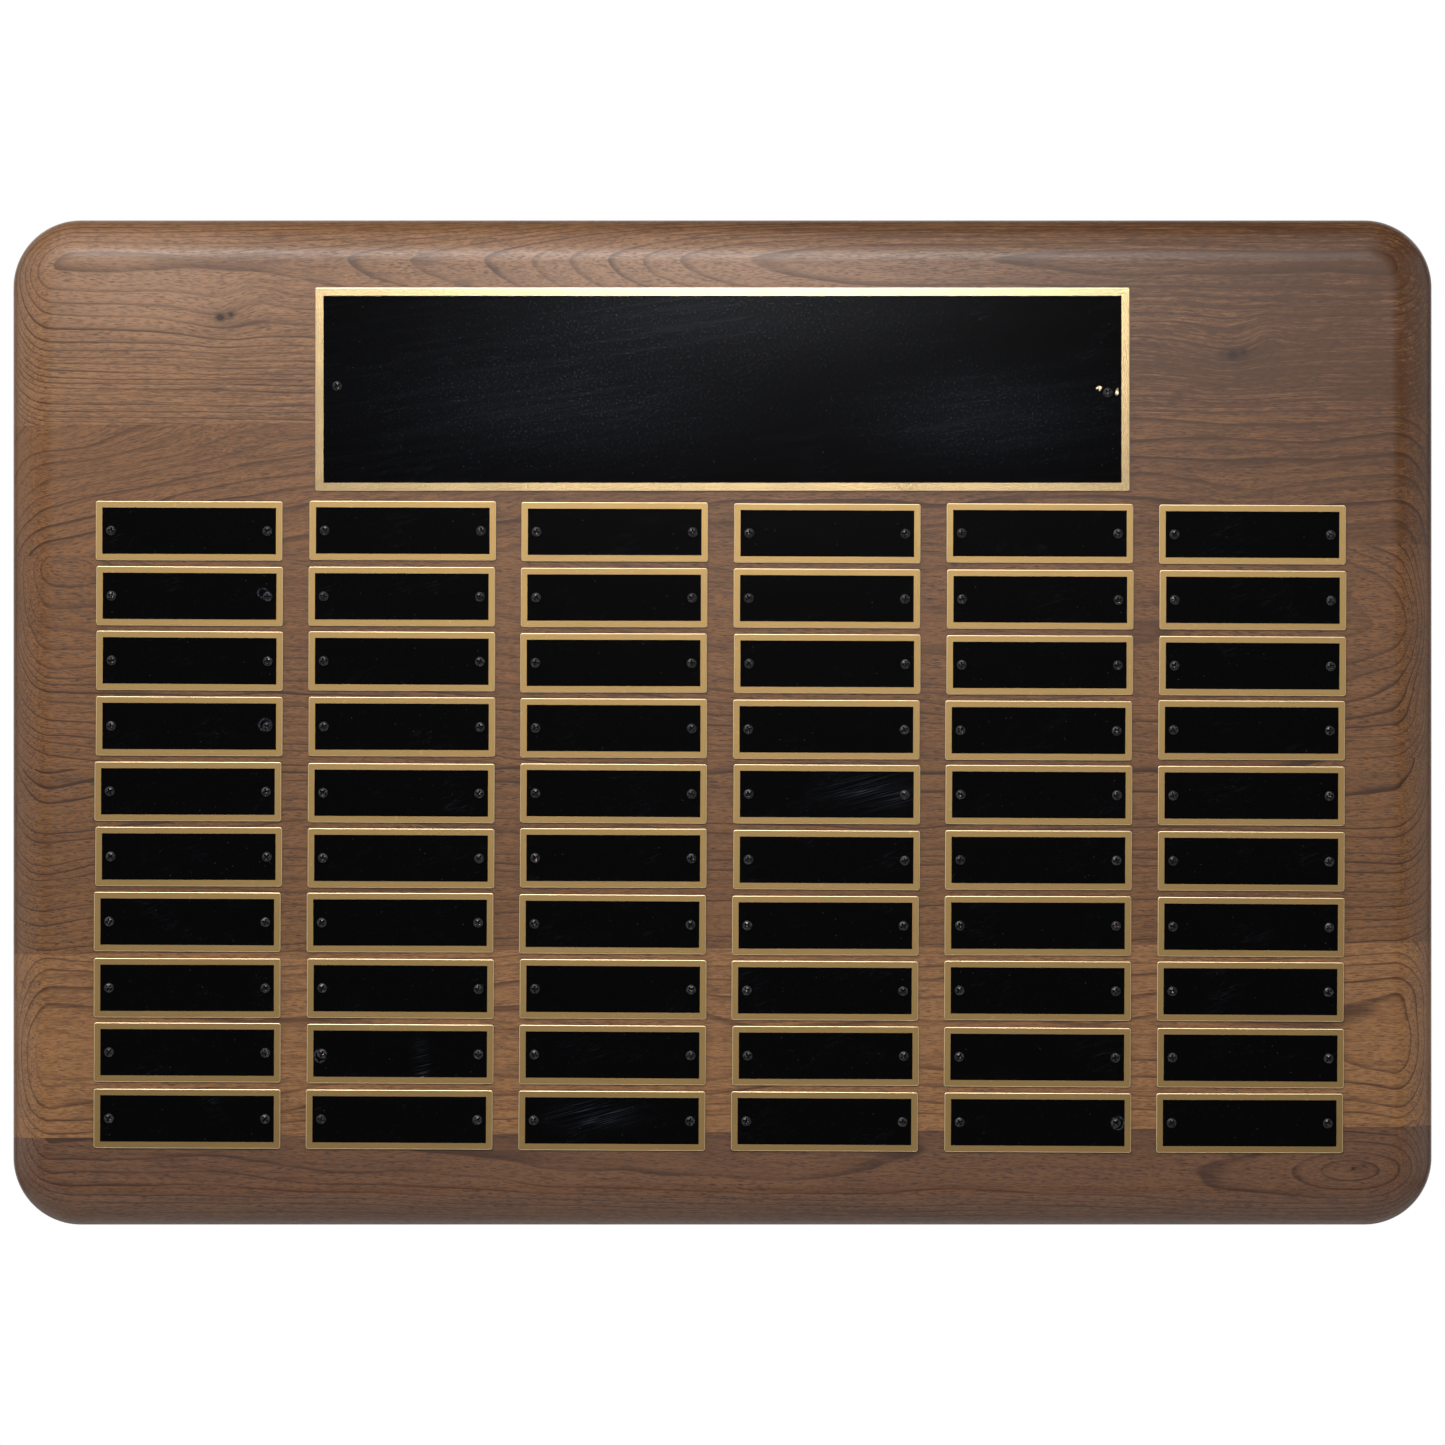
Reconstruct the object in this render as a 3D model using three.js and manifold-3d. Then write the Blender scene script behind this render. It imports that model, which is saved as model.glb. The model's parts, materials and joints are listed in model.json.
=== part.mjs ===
// A perpetual award plaque: an edge-glued walnut board that hangs on a wall, with one header plate and a grid
// of name plates screwed to its face, and two steel keyhole hangers let into its back.
//
// Millimetres. +X is the viewer's right, +Z is up, and the face looks along -Y. The origin is the centre of the
// board's back face, which lies against the wall. The board is sized from the plates and the margins round
// them.

import * as THREE from "three";
import { mergeVertices } from "three/addons/utils/BufferGeometryUtils.js";
import Module from "manifold-3d";

const wasm = await Module();
wasm.setup();

// ---- Driving dimensions ----------------------------------------------------------------------------------

const HEADER = {
  width: 304.8,
  height: 76.2,
  thickness: 0.8,
  cornerRadius: 0.6,
  screwInset: 8.2, // from the plate's end to the screw's axis
  screwRise: 1.2, // the left screw sits this far above the centre line, and the right one as far below it
};

const NAME_PLATE = {
  width: 69.85,
  height: 22.2,
  thickness: 0.8,
  cornerRadius: 0.9,
  screwInset: 5.7,
};

const GRID = {
  rows: 10,
  columnGap: 9.7,
  rowGap: 2.25,
  shift: -1, // the whole grid is set this far off the board's centre line
  tilt: 0.24, // degrees; its rows fall towards the right
  scatter: 0.25, // how far a plate set by hand may lie from its true place, each way
  scatterTurn: 0.12, // degrees
  platesPerStrip: [1, 1, 1, 2, 2, 2], // by column: a strip of two plates is joined by a tab
};

const TAB = { width: 3, thickness: 0.25, bite: 1 }; // bite is how far a tab runs onto each plate

const MARGIN = {
  side: 32.9, // board's edge to the outer name plates
  top: 26.1, // board's edge to the header plate
  bottom: 28.8, // board's edge to the last row
  underHeader: 4.4, // header plate to the first row
};

const BOARD = {
  thickness: 22.2,
  cornerRadius: 25.4,
  faceRound: 15.9, // radius of the rounded-over front edge
  backRound: 3, // radius of the eased back edge
};

const STAVES = {
  rips: [75.5, 48.9, 79.8, 69.3, 68.8, 35.5], // widths from the top, in proportion, to fill the board's height
  glueLine: 0.1, // the thickness of glue between two staves
  tilt: -0.48, // degrees; the glue lines rise towards the right
};

const PLATE_SCREW = {
  headRadius: 1.95,
  headHeight: 1.1,
  shankRadius: 1,
  length: 9.5,
  tip: 2.2,
  recessSpan: 2,
  recessWidth: 0.45,
  recessDepth: 0.7,
};

const HANGER = {
  length: 50,
  width: 16,
  thickness: 1.6,
  inset: 63.5, // from the board's side edge to the hanger's centre line
  drop: 45, // from the board's top edge to the hanger's centre
  entryRadius: 4.75, // the round hole that a wall screw's head goes through
  entryDrop: 5, // the entry's centre below the hanger's centre
  slotWidth: 5,
  slotRise: 8, // the top of the slot's centre line above the hanger's centre
  screwSpacing: 40,
  pocketWidth: 12.7, // the cavity behind the keyhole, as a router bit leaves it
  pocketDepth: 7,
};

const HANGER_SCREW = {
  headRadius: 2.8,
  headHeight: 1.4,
  shankRadius: 1.4,
  length: 12.7,
  tip: 2.8,
  recessSpan: 3,
  recessWidth: 0.7,
  recessDepth: 0.9,
};

const SEAT = 0.05; // between two pieces that rest on each other
const HOLE_CLEARANCE = 0.3; // radial, round a screw in its hole and round a hanger in its mortise
const CLEAR = 1; // how far a cutter runs past the material it cuts

// How many flat sides stand for each round stretch: a quarter turn at a corner or an edge, a half turn at a
// slot's end, and a whole turn round a hole or a screw.
const SIDES = {
  boardCorner: 10,
  faceRound: 7,
  backRound: 3,
  plateCorner: 2,
  slotEnd: 10,
  pilot: 6,
  plateHole: 8,
  hangerHole: 16,
  screw: 10,
};

// ---- Sizes that follow -----------------------------------------------------------------------------------

const columns = GRID.platesPerStrip.length;
const columnPitch = NAME_PLATE.width + GRID.columnGap;
const rowPitch = NAME_PLATE.height + GRID.rowGap;
const gridWidth = columns * columnPitch - GRID.columnGap;
const gridHeight = GRID.rows * rowPitch - GRID.rowGap;

const boardWidth = Math.max(gridWidth, HEADER.width) + 2 * MARGIN.side;
const boardHeight = MARGIN.top + HEADER.height + MARGIN.underHeader + gridHeight + MARGIN.bottom;
const boardTop = boardHeight / 2;
const boardFace = -BOARD.thickness;

const headerCentreZ = boardTop - MARGIN.top - HEADER.height / 2;
const gridCentreZ = -boardTop + MARGIN.bottom + gridHeight / 2;
const hangerCentreX = boardWidth / 2 - HANGER.inset;
const hangerCentreZ = boardTop - HANGER.drop;

const namePlateReach = NAME_PLATE.width / 2 - NAME_PLATE.screwInset;
const headerReach = HEADER.width / 2 - HEADER.screwInset;
const plateHoleRadius = PLATE_SCREW.shankRadius + HOLE_CLEARANCE;
const hangerHoleRadius = HANGER_SCREW.shankRadius + HOLE_CLEARANCE;

// ---- Materials -------------------------------------------------------------------------------------------

const walnut = new THREE.MeshStandardMaterial({ color: 0x7a573e, roughness: 0.5, metalness: 0 });
const darkWalnut = new THREE.MeshStandardMaterial({ color: 0x5b4133, roughness: 0.5, metalness: 0 });
const blackBrass = new THREE.MeshStandardMaterial({ color: 0x111214, roughness: 0.4, metalness: 0.3 });
const blackSteel = new THREE.MeshStandardMaterial({ color: 0x1c1c1e, roughness: 0.45, metalness: 0.8 });
const zincSteel = new THREE.MeshStandardMaterial({ color: 0xb4b6b4, roughness: 0.35, metalness: 1 });

// ---- Solids ----------------------------------------------------------------------------------------------

// A three.js geometry as a solid that can be cut and joined.
function solidOf(geometry, matrix = new THREE.Matrix4()) {
  const bare = geometry.clone().applyMatrix4(matrix);
  bare.deleteAttribute("normal");
  bare.deleteAttribute("uv");
  const merged = mergeVertices(bare, 1e-4);
  return new wasm.Manifold(
    new wasm.Mesh({
      numProp: 3,
      vertProperties: merged.attributes.position.array,
      triVerts: new Uint32Array(merged.index.array),
    }),
  );
}

// A solid as a three.js geometry again.
function geometryOf(solid) {
  const mesh = solid.getMesh();
  const geometry = new THREE.BufferGeometry();
  geometry.setAttribute("position", new THREE.BufferAttribute(mesh.vertProperties, 3));
  geometry.setIndex(new THREE.BufferAttribute(mesh.triVerts, 1));
  geometry.computeVertexNormals();
  return geometry;
}

function namedMesh(name, solid, material) {
  const mesh = new THREE.Mesh(geometryOf(solid), material);
  mesh.name = name;
  return mesh;
}

function moved(solid, x, y, z) {
  return solid.translate([x, y, z]);
}

// A solid turned about its own Y axis: a positive angle turns it clockwise as the viewer sees the face.
function turned(solid, degrees) {
  return solid.rotate([0, degrees, 0]);
}

// Stands a shape drawn in XY up in XZ: what was drawn along Y runs along Z, and the extrusion runs from the
// shape's plane towards -Y.
const standUp = new THREE.Matrix4().makeRotationX(Math.PI / 2);

// A rectangle with round corners, centred on the origin.
function roundedRectangle(width, height, radius) {
  const right = width / 2 - radius;
  const top = height / 2 - radius;
  const quarter = Math.PI / 2;
  const shape = new THREE.Shape();
  shape.absarc(right, top, radius, 0, quarter);
  shape.absarc(-right, top, radius, quarter, 2 * quarter);
  shape.absarc(-right, -top, radius, 2 * quarter, 3 * quarter);
  shape.absarc(right, -top, radius, 3 * quarter, 4 * quarter);
  shape.closePath();
  return shape;
}

// A slot outline with round ends that runs from one height to another.
function stadium(width, fromZ, toZ) {
  const radius = width / 2;
  const shape = new THREE.Shape();
  shape.absarc(0, toZ, radius, 0, Math.PI);
  shape.absarc(0, fromZ, radius, Math.PI, 2 * Math.PI);
  shape.closePath();
  return shape;
}

// A flat piece whose back lies in the plane y = 0 and whose face is at y = -depth. An extrusion gives each
// arc of its shape twice its curve segments.
function slabOf(shape, depth, arcSides) {
  const options = { depth, curveSegments: arcSides / 2, bevelEnabled: false };
  return solidOf(new THREE.ExtrudeGeometry(shape, options), standUp);
}

// The same, with both rims rounded to a quarter circle.
function roundedSlabOf(shape, depth, round, arcSides, roundSides) {
  const geometry = new THREE.ExtrudeGeometry(shape, {
    depth: depth - 2 * round,
    curveSegments: arcSides / 2,
    bevelThickness: round,
    bevelSize: round,
    bevelOffset: -round,
    bevelSegments: roundSides,
  });
  geometry.translate(0, 0, round);
  return solidOf(geometry, standUp);
}

// A round cutter along Y from one depth to another, about the axis x = z = 0. Its far end may be wider.
function drill(radius, fromY, toY, sides, farRadius = radius) {
  const geometry = new THREE.CylinderGeometry(farRadius, radius, toY - fromY, sides);
  geometry.translate(0, (fromY + toY) / 2, 0);
  return solidOf(geometry);
}

// ---- Places ----------------------------------------------------------------------------------------------

// A repeatable scatter from -1 to 1 for what is set by hand: the fraction left by a large sine.
function scatter(row, column, salt) {
  const wave = Math.sin(row * 12.9898 + column * 78.233 + salt * 37.719) * 43758.5453;
  return 2 * (wave - Math.floor(wave)) - 1;
}

// A point (x, z) turned clockwise about the origin, as the viewer sees the face.
function turnPoint(x, z, degrees) {
  const angle = THREE.MathUtils.degToRad(degrees);
  return [x * Math.cos(angle) + z * Math.sin(angle), z * Math.cos(angle) - x * Math.sin(angle)];
}

// Where a name plate lies: its centre, and its turn in degrees. Row 0 is the top row, and column 0 the left
// one.
function namePlatePlace(row, column) {
  const [x, z] = turnPoint(
    (column - (columns - 1) / 2) * columnPitch,
    ((GRID.rows - 1) / 2 - row) * rowPitch,
    GRID.tilt,
  );
  return {
    x: GRID.shift + x + GRID.scatter * scatter(row, column, 1),
    z: gridCentreZ + z + GRID.scatter * scatter(row, column, 2),
    turn: GRID.tilt + GRID.scatterTurn * scatter(row, column, 3),
  };
}

// The axes of a name plate's two screws, as points (x, z).
function namePlateScrews(row, column) {
  const place = namePlatePlace(row, column);
  return [-namePlateReach, namePlateReach].map((along) => {
    const [x, z] = turnPoint(along, 0, place.turn);
    return [place.x + x, place.z + z];
  });
}

// The axes of the header plate's two screws, left then right.
function headerScrews() {
  return [
    [-headerReach, headerCentreZ + HEADER.screwRise],
    [headerReach, headerCentreZ - HEADER.screwRise],
  ];
}

// The hangers' centre lines, left and right.
function hangerCentres() {
  return { left: -hangerCentreX, right: hangerCentreX };
}

// The heights of a hanger's upper and lower screw, about the hanger's centre.
function hangerScrewHeights() {
  return [HANGER.screwSpacing / 2, -HANGER.screwSpacing / 2];
}

// A hanger's outline, grown all round by a margin.
function hangerOutline(margin) {
  const endRise = (HANGER.length - HANGER.width) / 2;
  return stadium(HANGER.width + 2 * margin, -endRise, endRise);
}

// ---- Screws ----------------------------------------------------------------------------------------------

// The cross-shaped driver recess, cut from y = top down.
function crossRecess(screw, top) {
  const height = screw.recessDepth + CLEAR;
  const arm = new THREE.BoxGeometry(screw.recessSpan, height, screw.recessWidth);
  arm.translate(0, top - screw.recessDepth + height / 2, 0);
  return solidOf(arm).add(solidOf(arm, new THREE.Matrix4().makeRotationY(Math.PI / 2)));
}

// A solid turned about the Y axis from a profile of [radius, y] pairs that runs from the tip to the head's top.
function lathe(profile) {
  const points = profile.map(([radius, y]) => new THREE.Vector2(radius, y));
  return solidOf(new THREE.LatheGeometry(points, SIDES.screw));
}

// A domed plate screw: its head stands on the plane y = 0, and its shank points along -Y.
function domedScrew(screw) {
  const dome = [1, 0.8, 0.45].map((share) => [
    screw.headRadius * share,
    screw.headHeight * (0.35 + 0.65 * Math.sqrt(1 - share * share)),
  ]);
  const solid = lathe([
    [0, -screw.length],
    [screw.shankRadius, screw.tip - screw.length],
    [screw.shankRadius, 0],
    [screw.headRadius, 0],
    ...dome,
    [0, screw.headHeight],
  ]);
  return solid.subtract(crossRecess(screw, screw.headHeight));
}

// A countersunk screw: its flat head ends at the plane y = 0, and its shank points along -Y.
function countersunkScrew(screw) {
  const solid = lathe([
    [0, -screw.length],
    [screw.shankRadius, screw.tip - screw.length],
    [screw.shankRadius, -screw.headHeight],
    [screw.headRadius, 0],
    [0, 0],
  ]);
  return solid.subtract(crossRecess(screw, 0));
}

// The hole in the board for the shank of a plate's screw, entered from the face.
function pilotFromFace(plateThickness) {
  const tipY = boardFace - plateThickness - 2 * SEAT + PLATE_SCREW.length;
  return drill(plateHoleRadius, boardFace - CLEAR, tipY + HOLE_CLEARANCE, SIDES.pilot);
}

// ---- Board -----------------------------------------------------------------------------------------------

// The whole board before it is divided into staves. The face's large round-over and the back's small one each
// come from a slab that has it on both rims and runs past the board's other side.
function roundedBoard() {
  const outline = roundedRectangle(boardWidth, boardHeight, BOARD.cornerRadius);
  const depth = 2 * BOARD.thickness;
  const backRounded = roundedSlabOf(outline, depth, BOARD.backRound, SIDES.boardCorner, SIDES.backRound);
  const faceRounded = roundedSlabOf(outline, depth, BOARD.faceRound, SIDES.boardCorner, SIDES.faceRound);
  return backRounded.intersect(moved(faceRounded, 0, BOARD.thickness, 0));
}

// Everything cut out of the board: the plates' pilot holes, and each hanger's mortise, pocket and pilots.
function boardCutters() {
  const cutters = [];
  const headerPilot = pilotFromFace(HEADER.thickness);
  for (const [x, z] of headerScrews()) cutters.push(moved(headerPilot, x, 0, z));
  const namePilot = pilotFromFace(NAME_PLATE.thickness);
  for (let row = 0; row < GRID.rows; row++) {
    for (let column = 0; column < columns; column++) {
      for (const [x, z] of namePlateScrews(row, column)) cutters.push(moved(namePilot, x, 0, z));
    }
  }
  for (const x of Object.values(hangerCentres())) {
    cutters.push(...hangerCutters().map((cutter) => moved(cutter, x, 0, hangerCentreZ)));
  }
  return cutters;
}

// What one hanger needs cut into the board's back, about the hanger's centre: a mortise that the plate lies in,
// a deeper pocket behind its keyhole, and a pilot hole for each screw.
function hangerCutters() {
  const pocketOutline = stadium(HANGER.pocketWidth, -HANGER.entryDrop, HANGER.slotRise);
  const mortise = slabOf(hangerOutline(HOLE_CLEARANCE), HANGER.thickness + SEAT + CLEAR, SIDES.slotEnd);
  const pocket = slabOf(pocketOutline, HANGER.pocketDepth + CLEAR, SIDES.slotEnd);
  const pilot = drill(hangerHoleRadius, -HANGER_SCREW.length - HOLE_CLEARANCE, CLEAR, SIDES.pilot);
  const pilots = hangerScrewHeights().map((z) => moved(pilot, 0, 0, z));
  return [moved(mortise, 0, CLEAR, 0), moved(pocket, 0, CLEAR, 0), ...pilots];
}

// The board's staves, from the top down, each between two glue lines.
function staves() {
  const board = boardCutters().reduce((left, cutter) => left.subtract(cutter), roundedBoard());
  const total = STAVES.rips.reduce((sum, rip) => sum + rip, 0);
  const slabWidth = 2 * boardWidth;
  let top = boardTop;
  return STAVES.rips.map((rip, index) => {
    const bottom = top - (rip / total) * boardHeight;
    const isFirst = index === 0;
    const isLast = index === STAVES.rips.length - 1;
    const high = isFirst ? boardHeight : top - STAVES.glueLine / 2;
    const low = isLast ? -boardHeight : bottom + STAVES.glueLine / 2;
    const slab = new THREE.BoxGeometry(slabWidth, 4 * BOARD.thickness, high - low);
    slab.translate(0, 0, (high + low) / 2);
    slab.rotateY(THREE.MathUtils.degToRad(STAVES.tilt));
    top = bottom;
    const material = isLast ? darkWalnut : walnut;
    return namedMesh(`stave_${index + 1}`, board.intersect(solidOf(slab)), material);
  });
}

// ---- Plates ----------------------------------------------------------------------------------------------

// A plate with its back in the plane y = 0, and a hole for a screw at each of the given points (x, z).
function plateBlank(plate, holes) {
  const outline = roundedRectangle(plate.width, plate.height, plate.cornerRadius);
  const hole = drill(plateHoleRadius, -plate.thickness - CLEAR, CLEAR, SIDES.plateHole);
  return holes.reduce(
    (left, [x, z]) => left.subtract(moved(hole, x, 0, z)),
    slabOf(outline, plate.thickness, SIDES.plateCorner),
  );
}

function headerPlate() {
  const holes = headerScrews().map(([x, z]) => [x, z - headerCentreZ]);
  const plate = moved(plateBlank(HEADER, holes), 0, boardFace - SEAT, headerCentreZ);
  return namedMesh("header_plate", plate, blackBrass);
}

function headerScrewMeshes() {
  const screw = domedScrew(PLATE_SCREW).rotate([180, 0, 0]);
  const seat = boardFace - HEADER.thickness - 2 * SEAT;
  return headerScrews().map(([x, z], index) =>
    namedMesh(`header_screw_${["left", "right"][index]}`, moved(screw, x, seat, z), blackSteel),
  );
}

function namePlate(blank, row, column) {
  const place = namePlatePlace(row, column);
  return moved(turned(blank, place.turn), place.x, boardFace - SEAT, place.z);
}

// The tab that joins a name plate to the one below it, at the back of both.
function stripTab(row, column) {
  const upper = namePlatePlace(row, column);
  const lower = namePlatePlace(row + 1, column);
  const height = upper.z - lower.z - NAME_PLATE.height + 2 * TAB.bite;
  const tab = new THREE.BoxGeometry(TAB.width, TAB.thickness, height);
  tab.translate((upper.x + lower.x) / 2, boardFace - SEAT - TAB.thickness / 2, (upper.z + lower.z) / 2);
  return solidOf(tab);
}

// Every strip of name plates: one plate, or several joined by tabs.
function namePlateStrips() {
  const blank = plateBlank(NAME_PLATE, [
    [-namePlateReach, 0],
    [namePlateReach, 0],
  ]);
  const label = (row) => `r${String(row + 1).padStart(2, "0")}`;
  const meshes = [];
  GRID.platesPerStrip.forEach((perStrip, column) => {
    for (let first = 0; first < GRID.rows; first += perStrip) {
      const last = Math.min(first + perStrip, GRID.rows) - 1;
      let strip = namePlate(blank, first, column);
      for (let row = first + 1; row <= last; row++) {
        strip = strip.add(namePlate(blank, row, column)).add(stripTab(row - 1, column));
      }
      const name =
        last > first
          ? `name_plates_${label(first)}_${label(last)}_c${column + 1}`
          : `name_plate_${label(first)}_c${column + 1}`;
      meshes.push(namedMesh(name, strip, blackBrass));
    }
  });
  return meshes;
}

// ---- Hangers ---------------------------------------------------------------------------------------------

// The cone that a countersunk screw's head lies in, with the hole for its shank, open past both faces.
function countersink() {
  const flare = (HANGER_SCREW.headRadius - HANGER_SCREW.shankRadius) / HANGER_SCREW.headHeight;
  const mouthRadius = HANGER_SCREW.headRadius + HOLE_CLEARANCE + flare * CLEAR;
  const cone = drill(hangerHoleRadius, -HANGER_SCREW.headHeight, CLEAR, SIDES.hangerHole, mouthRadius);
  return cone.add(drill(hangerHoleRadius, -HANGER.thickness - CLEAR, 0, SIDES.hangerHole));
}

// A keyhole hanger with its outer face in the plane y = 0: a round entry with a slot above it, between two
// countersunk holes.
function hangerPlate() {
  const body = slabOf(hangerOutline(0), HANGER.thickness, SIDES.slotEnd);
  const entry = drill(HANGER.entryRadius, -HANGER.thickness - CLEAR, CLEAR, SIDES.hangerHole);
  const slotOutline = stadium(HANGER.slotWidth, -HANGER.entryDrop, HANGER.slotRise);
  const slot = slabOf(slotOutline, HANGER.thickness + 2 * CLEAR, SIDES.slotEnd);
  const keyhole = moved(entry, 0, 0, -HANGER.entryDrop).add(moved(slot, 0, CLEAR, 0));
  const sinks = hangerScrewHeights().map((z) => moved(countersink(), 0, 0, z));
  return sinks.reduce((left, sink) => left.subtract(sink), body.subtract(keyhole));
}

// Both hangers, each with its upper and its lower screw.
function hangers() {
  const plate = hangerPlate();
  const screw = countersunkScrew(HANGER_SCREW);
  return Object.entries(hangerCentres()).flatMap(([side, x]) => {
    const screws = hangerScrewHeights().map((z, index) => {
      const name = `hanger_screw_${side}_${["upper", "lower"][index]}`;
      return namedMesh(name, moved(screw, x, 0, hangerCentreZ + z), zincSteel);
    });
    return [namedMesh(`hanger_${side}`, moved(plate, x, 0, hangerCentreZ), zincSteel), ...screws];
  });
}

// ---- Assembly --------------------------------------------------------------------------------------------

const plaque = new THREE.Group();
plaque.name = "plaque";
plaque.add(...staves(), headerPlate(), ...headerScrewMeshes(), ...namePlateStrips(), ...hangers());

export default plaque;
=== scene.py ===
"""The looks of a walnut award plaque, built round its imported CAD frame.

Everything is in metres, in the frame's own axes: +X to the right as seen from the front, +Z up, the face
towards -Y, and the back of the board in the plane y = 0. Sizes that a maker would give in millimetres are
written so and multiplied by MM. Patterns are worked out in millimetres.
"""

import json
import logging
import math
from dataclasses import dataclass, field
from enum import Enum, IntEnum

import bmesh
import bpy
import numpy as np
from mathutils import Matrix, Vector


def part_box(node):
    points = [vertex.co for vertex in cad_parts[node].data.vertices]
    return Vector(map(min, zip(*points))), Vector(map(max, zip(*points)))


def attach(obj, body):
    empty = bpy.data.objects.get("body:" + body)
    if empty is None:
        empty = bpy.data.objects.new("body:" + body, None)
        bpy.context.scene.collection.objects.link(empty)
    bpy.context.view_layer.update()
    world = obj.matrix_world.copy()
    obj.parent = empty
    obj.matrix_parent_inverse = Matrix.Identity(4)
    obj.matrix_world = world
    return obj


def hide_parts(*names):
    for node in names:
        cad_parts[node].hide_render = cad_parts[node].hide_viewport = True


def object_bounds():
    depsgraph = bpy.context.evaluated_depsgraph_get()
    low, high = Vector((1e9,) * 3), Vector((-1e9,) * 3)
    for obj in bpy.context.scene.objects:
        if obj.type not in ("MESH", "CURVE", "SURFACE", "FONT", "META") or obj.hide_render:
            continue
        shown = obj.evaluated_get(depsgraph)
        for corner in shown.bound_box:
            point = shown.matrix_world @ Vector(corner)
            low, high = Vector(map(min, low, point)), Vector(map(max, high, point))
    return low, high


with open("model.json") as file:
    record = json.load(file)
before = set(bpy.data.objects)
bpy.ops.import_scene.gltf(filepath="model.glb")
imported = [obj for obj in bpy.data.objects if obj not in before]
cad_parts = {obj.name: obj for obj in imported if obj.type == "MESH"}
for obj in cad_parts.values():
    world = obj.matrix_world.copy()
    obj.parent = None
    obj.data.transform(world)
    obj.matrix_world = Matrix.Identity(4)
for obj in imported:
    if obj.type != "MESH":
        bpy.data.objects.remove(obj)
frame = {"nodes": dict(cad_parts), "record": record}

CAD_LOW, CAD_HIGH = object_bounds()

LOG = logging.getLogger("plaque")
MM = 0.001
BODY = "root"
SHARP = 35.0  # degrees, the least angle of a sharp edge
LEAST_RADIUS = 0.02 * MM  # of a round corner, which keeps its points apart
HALF_WIDTH = CAD_HIGH.x / MM  # of the board, in millimetres

Colour = tuple[float, float, float]


# ---- Shader expressions ----------------------------------------------------------------------------------


class Value:
    """A number that varies over a surface, with Python's operators written out as Math nodes."""

    def __init__(self, shade: "Shade", socket: bpy.types.NodeSocket) -> None:
        """Wraps an output socket of a node in shade's tree."""
        self.shade = shade
        self.socket = socket

    def _with(self, operation: str, *terms: "Value | float") -> "Value":
        """One Math node of that operation on the given terms."""
        inputs = dict(enumerate(terms))
        node = self.shade.node("ShaderNodeMath", {"operation": operation}, inputs)
        return Value(self.shade, node.outputs[0])

    def __add__(self, other: "Value | float") -> "Value":
        """self + other."""
        return self._with("ADD", self, other)

    def __sub__(self, other: "Value | float") -> "Value":
        """self - other."""
        return self._with("SUBTRACT", self, other)

    def __rsub__(self, other: float) -> "Value":
        """other - self."""
        return self._with("SUBTRACT", other, self)

    def __mul__(self, other: "Value | float") -> "Value":
        """self * other."""
        return self._with("MULTIPLY", self, other)

    def __truediv__(self, other: "Value | float") -> "Value":
        """self / other."""
        return self._with("DIVIDE", self, other)

    def __pow__(self, other: "Value | float") -> "Value":
        """self ** other."""
        return self._with("POWER", self, other)

    __radd__ = __add__
    __rmul__ = __mul__

    def fraction(self) -> "Value":
        """What is left of self over its whole number."""
        return self._with("FRACT", self)

    def whole(self) -> "Value":
        """The whole number below self."""
        return self._with("FLOOR", self)

    def tanh(self) -> "Value":
        """The hyperbolic tangent, a smooth step from -1 to 1."""
        return self._with("TANH", self)

    def gauss(self) -> "Value":
        """A bell, exp(-self)."""
        return self._with("POWER", math.e, self * -1.0)

    @staticmethod
    def total(values: list["Value"]) -> "Value":
        """The sum of one or more values."""
        return sum(values[1:], values[0])

    def ease(self, low: float, high: float) -> "Value":
        """A smooth step that is 0 below low and 1 above high.

        Args:
            low: where the step begins.
            high: where it ends.

        Returns:
            The eased value, from 0 to 1.
        """
        settings = {"interpolation_type": "SMOOTHSTEP"}
        inputs = {"Value": self, "From Min": low, "From Max": high}
        return Value(self.shade, self.shade.node("ShaderNodeMapRange", settings, inputs).outputs[0])


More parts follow.
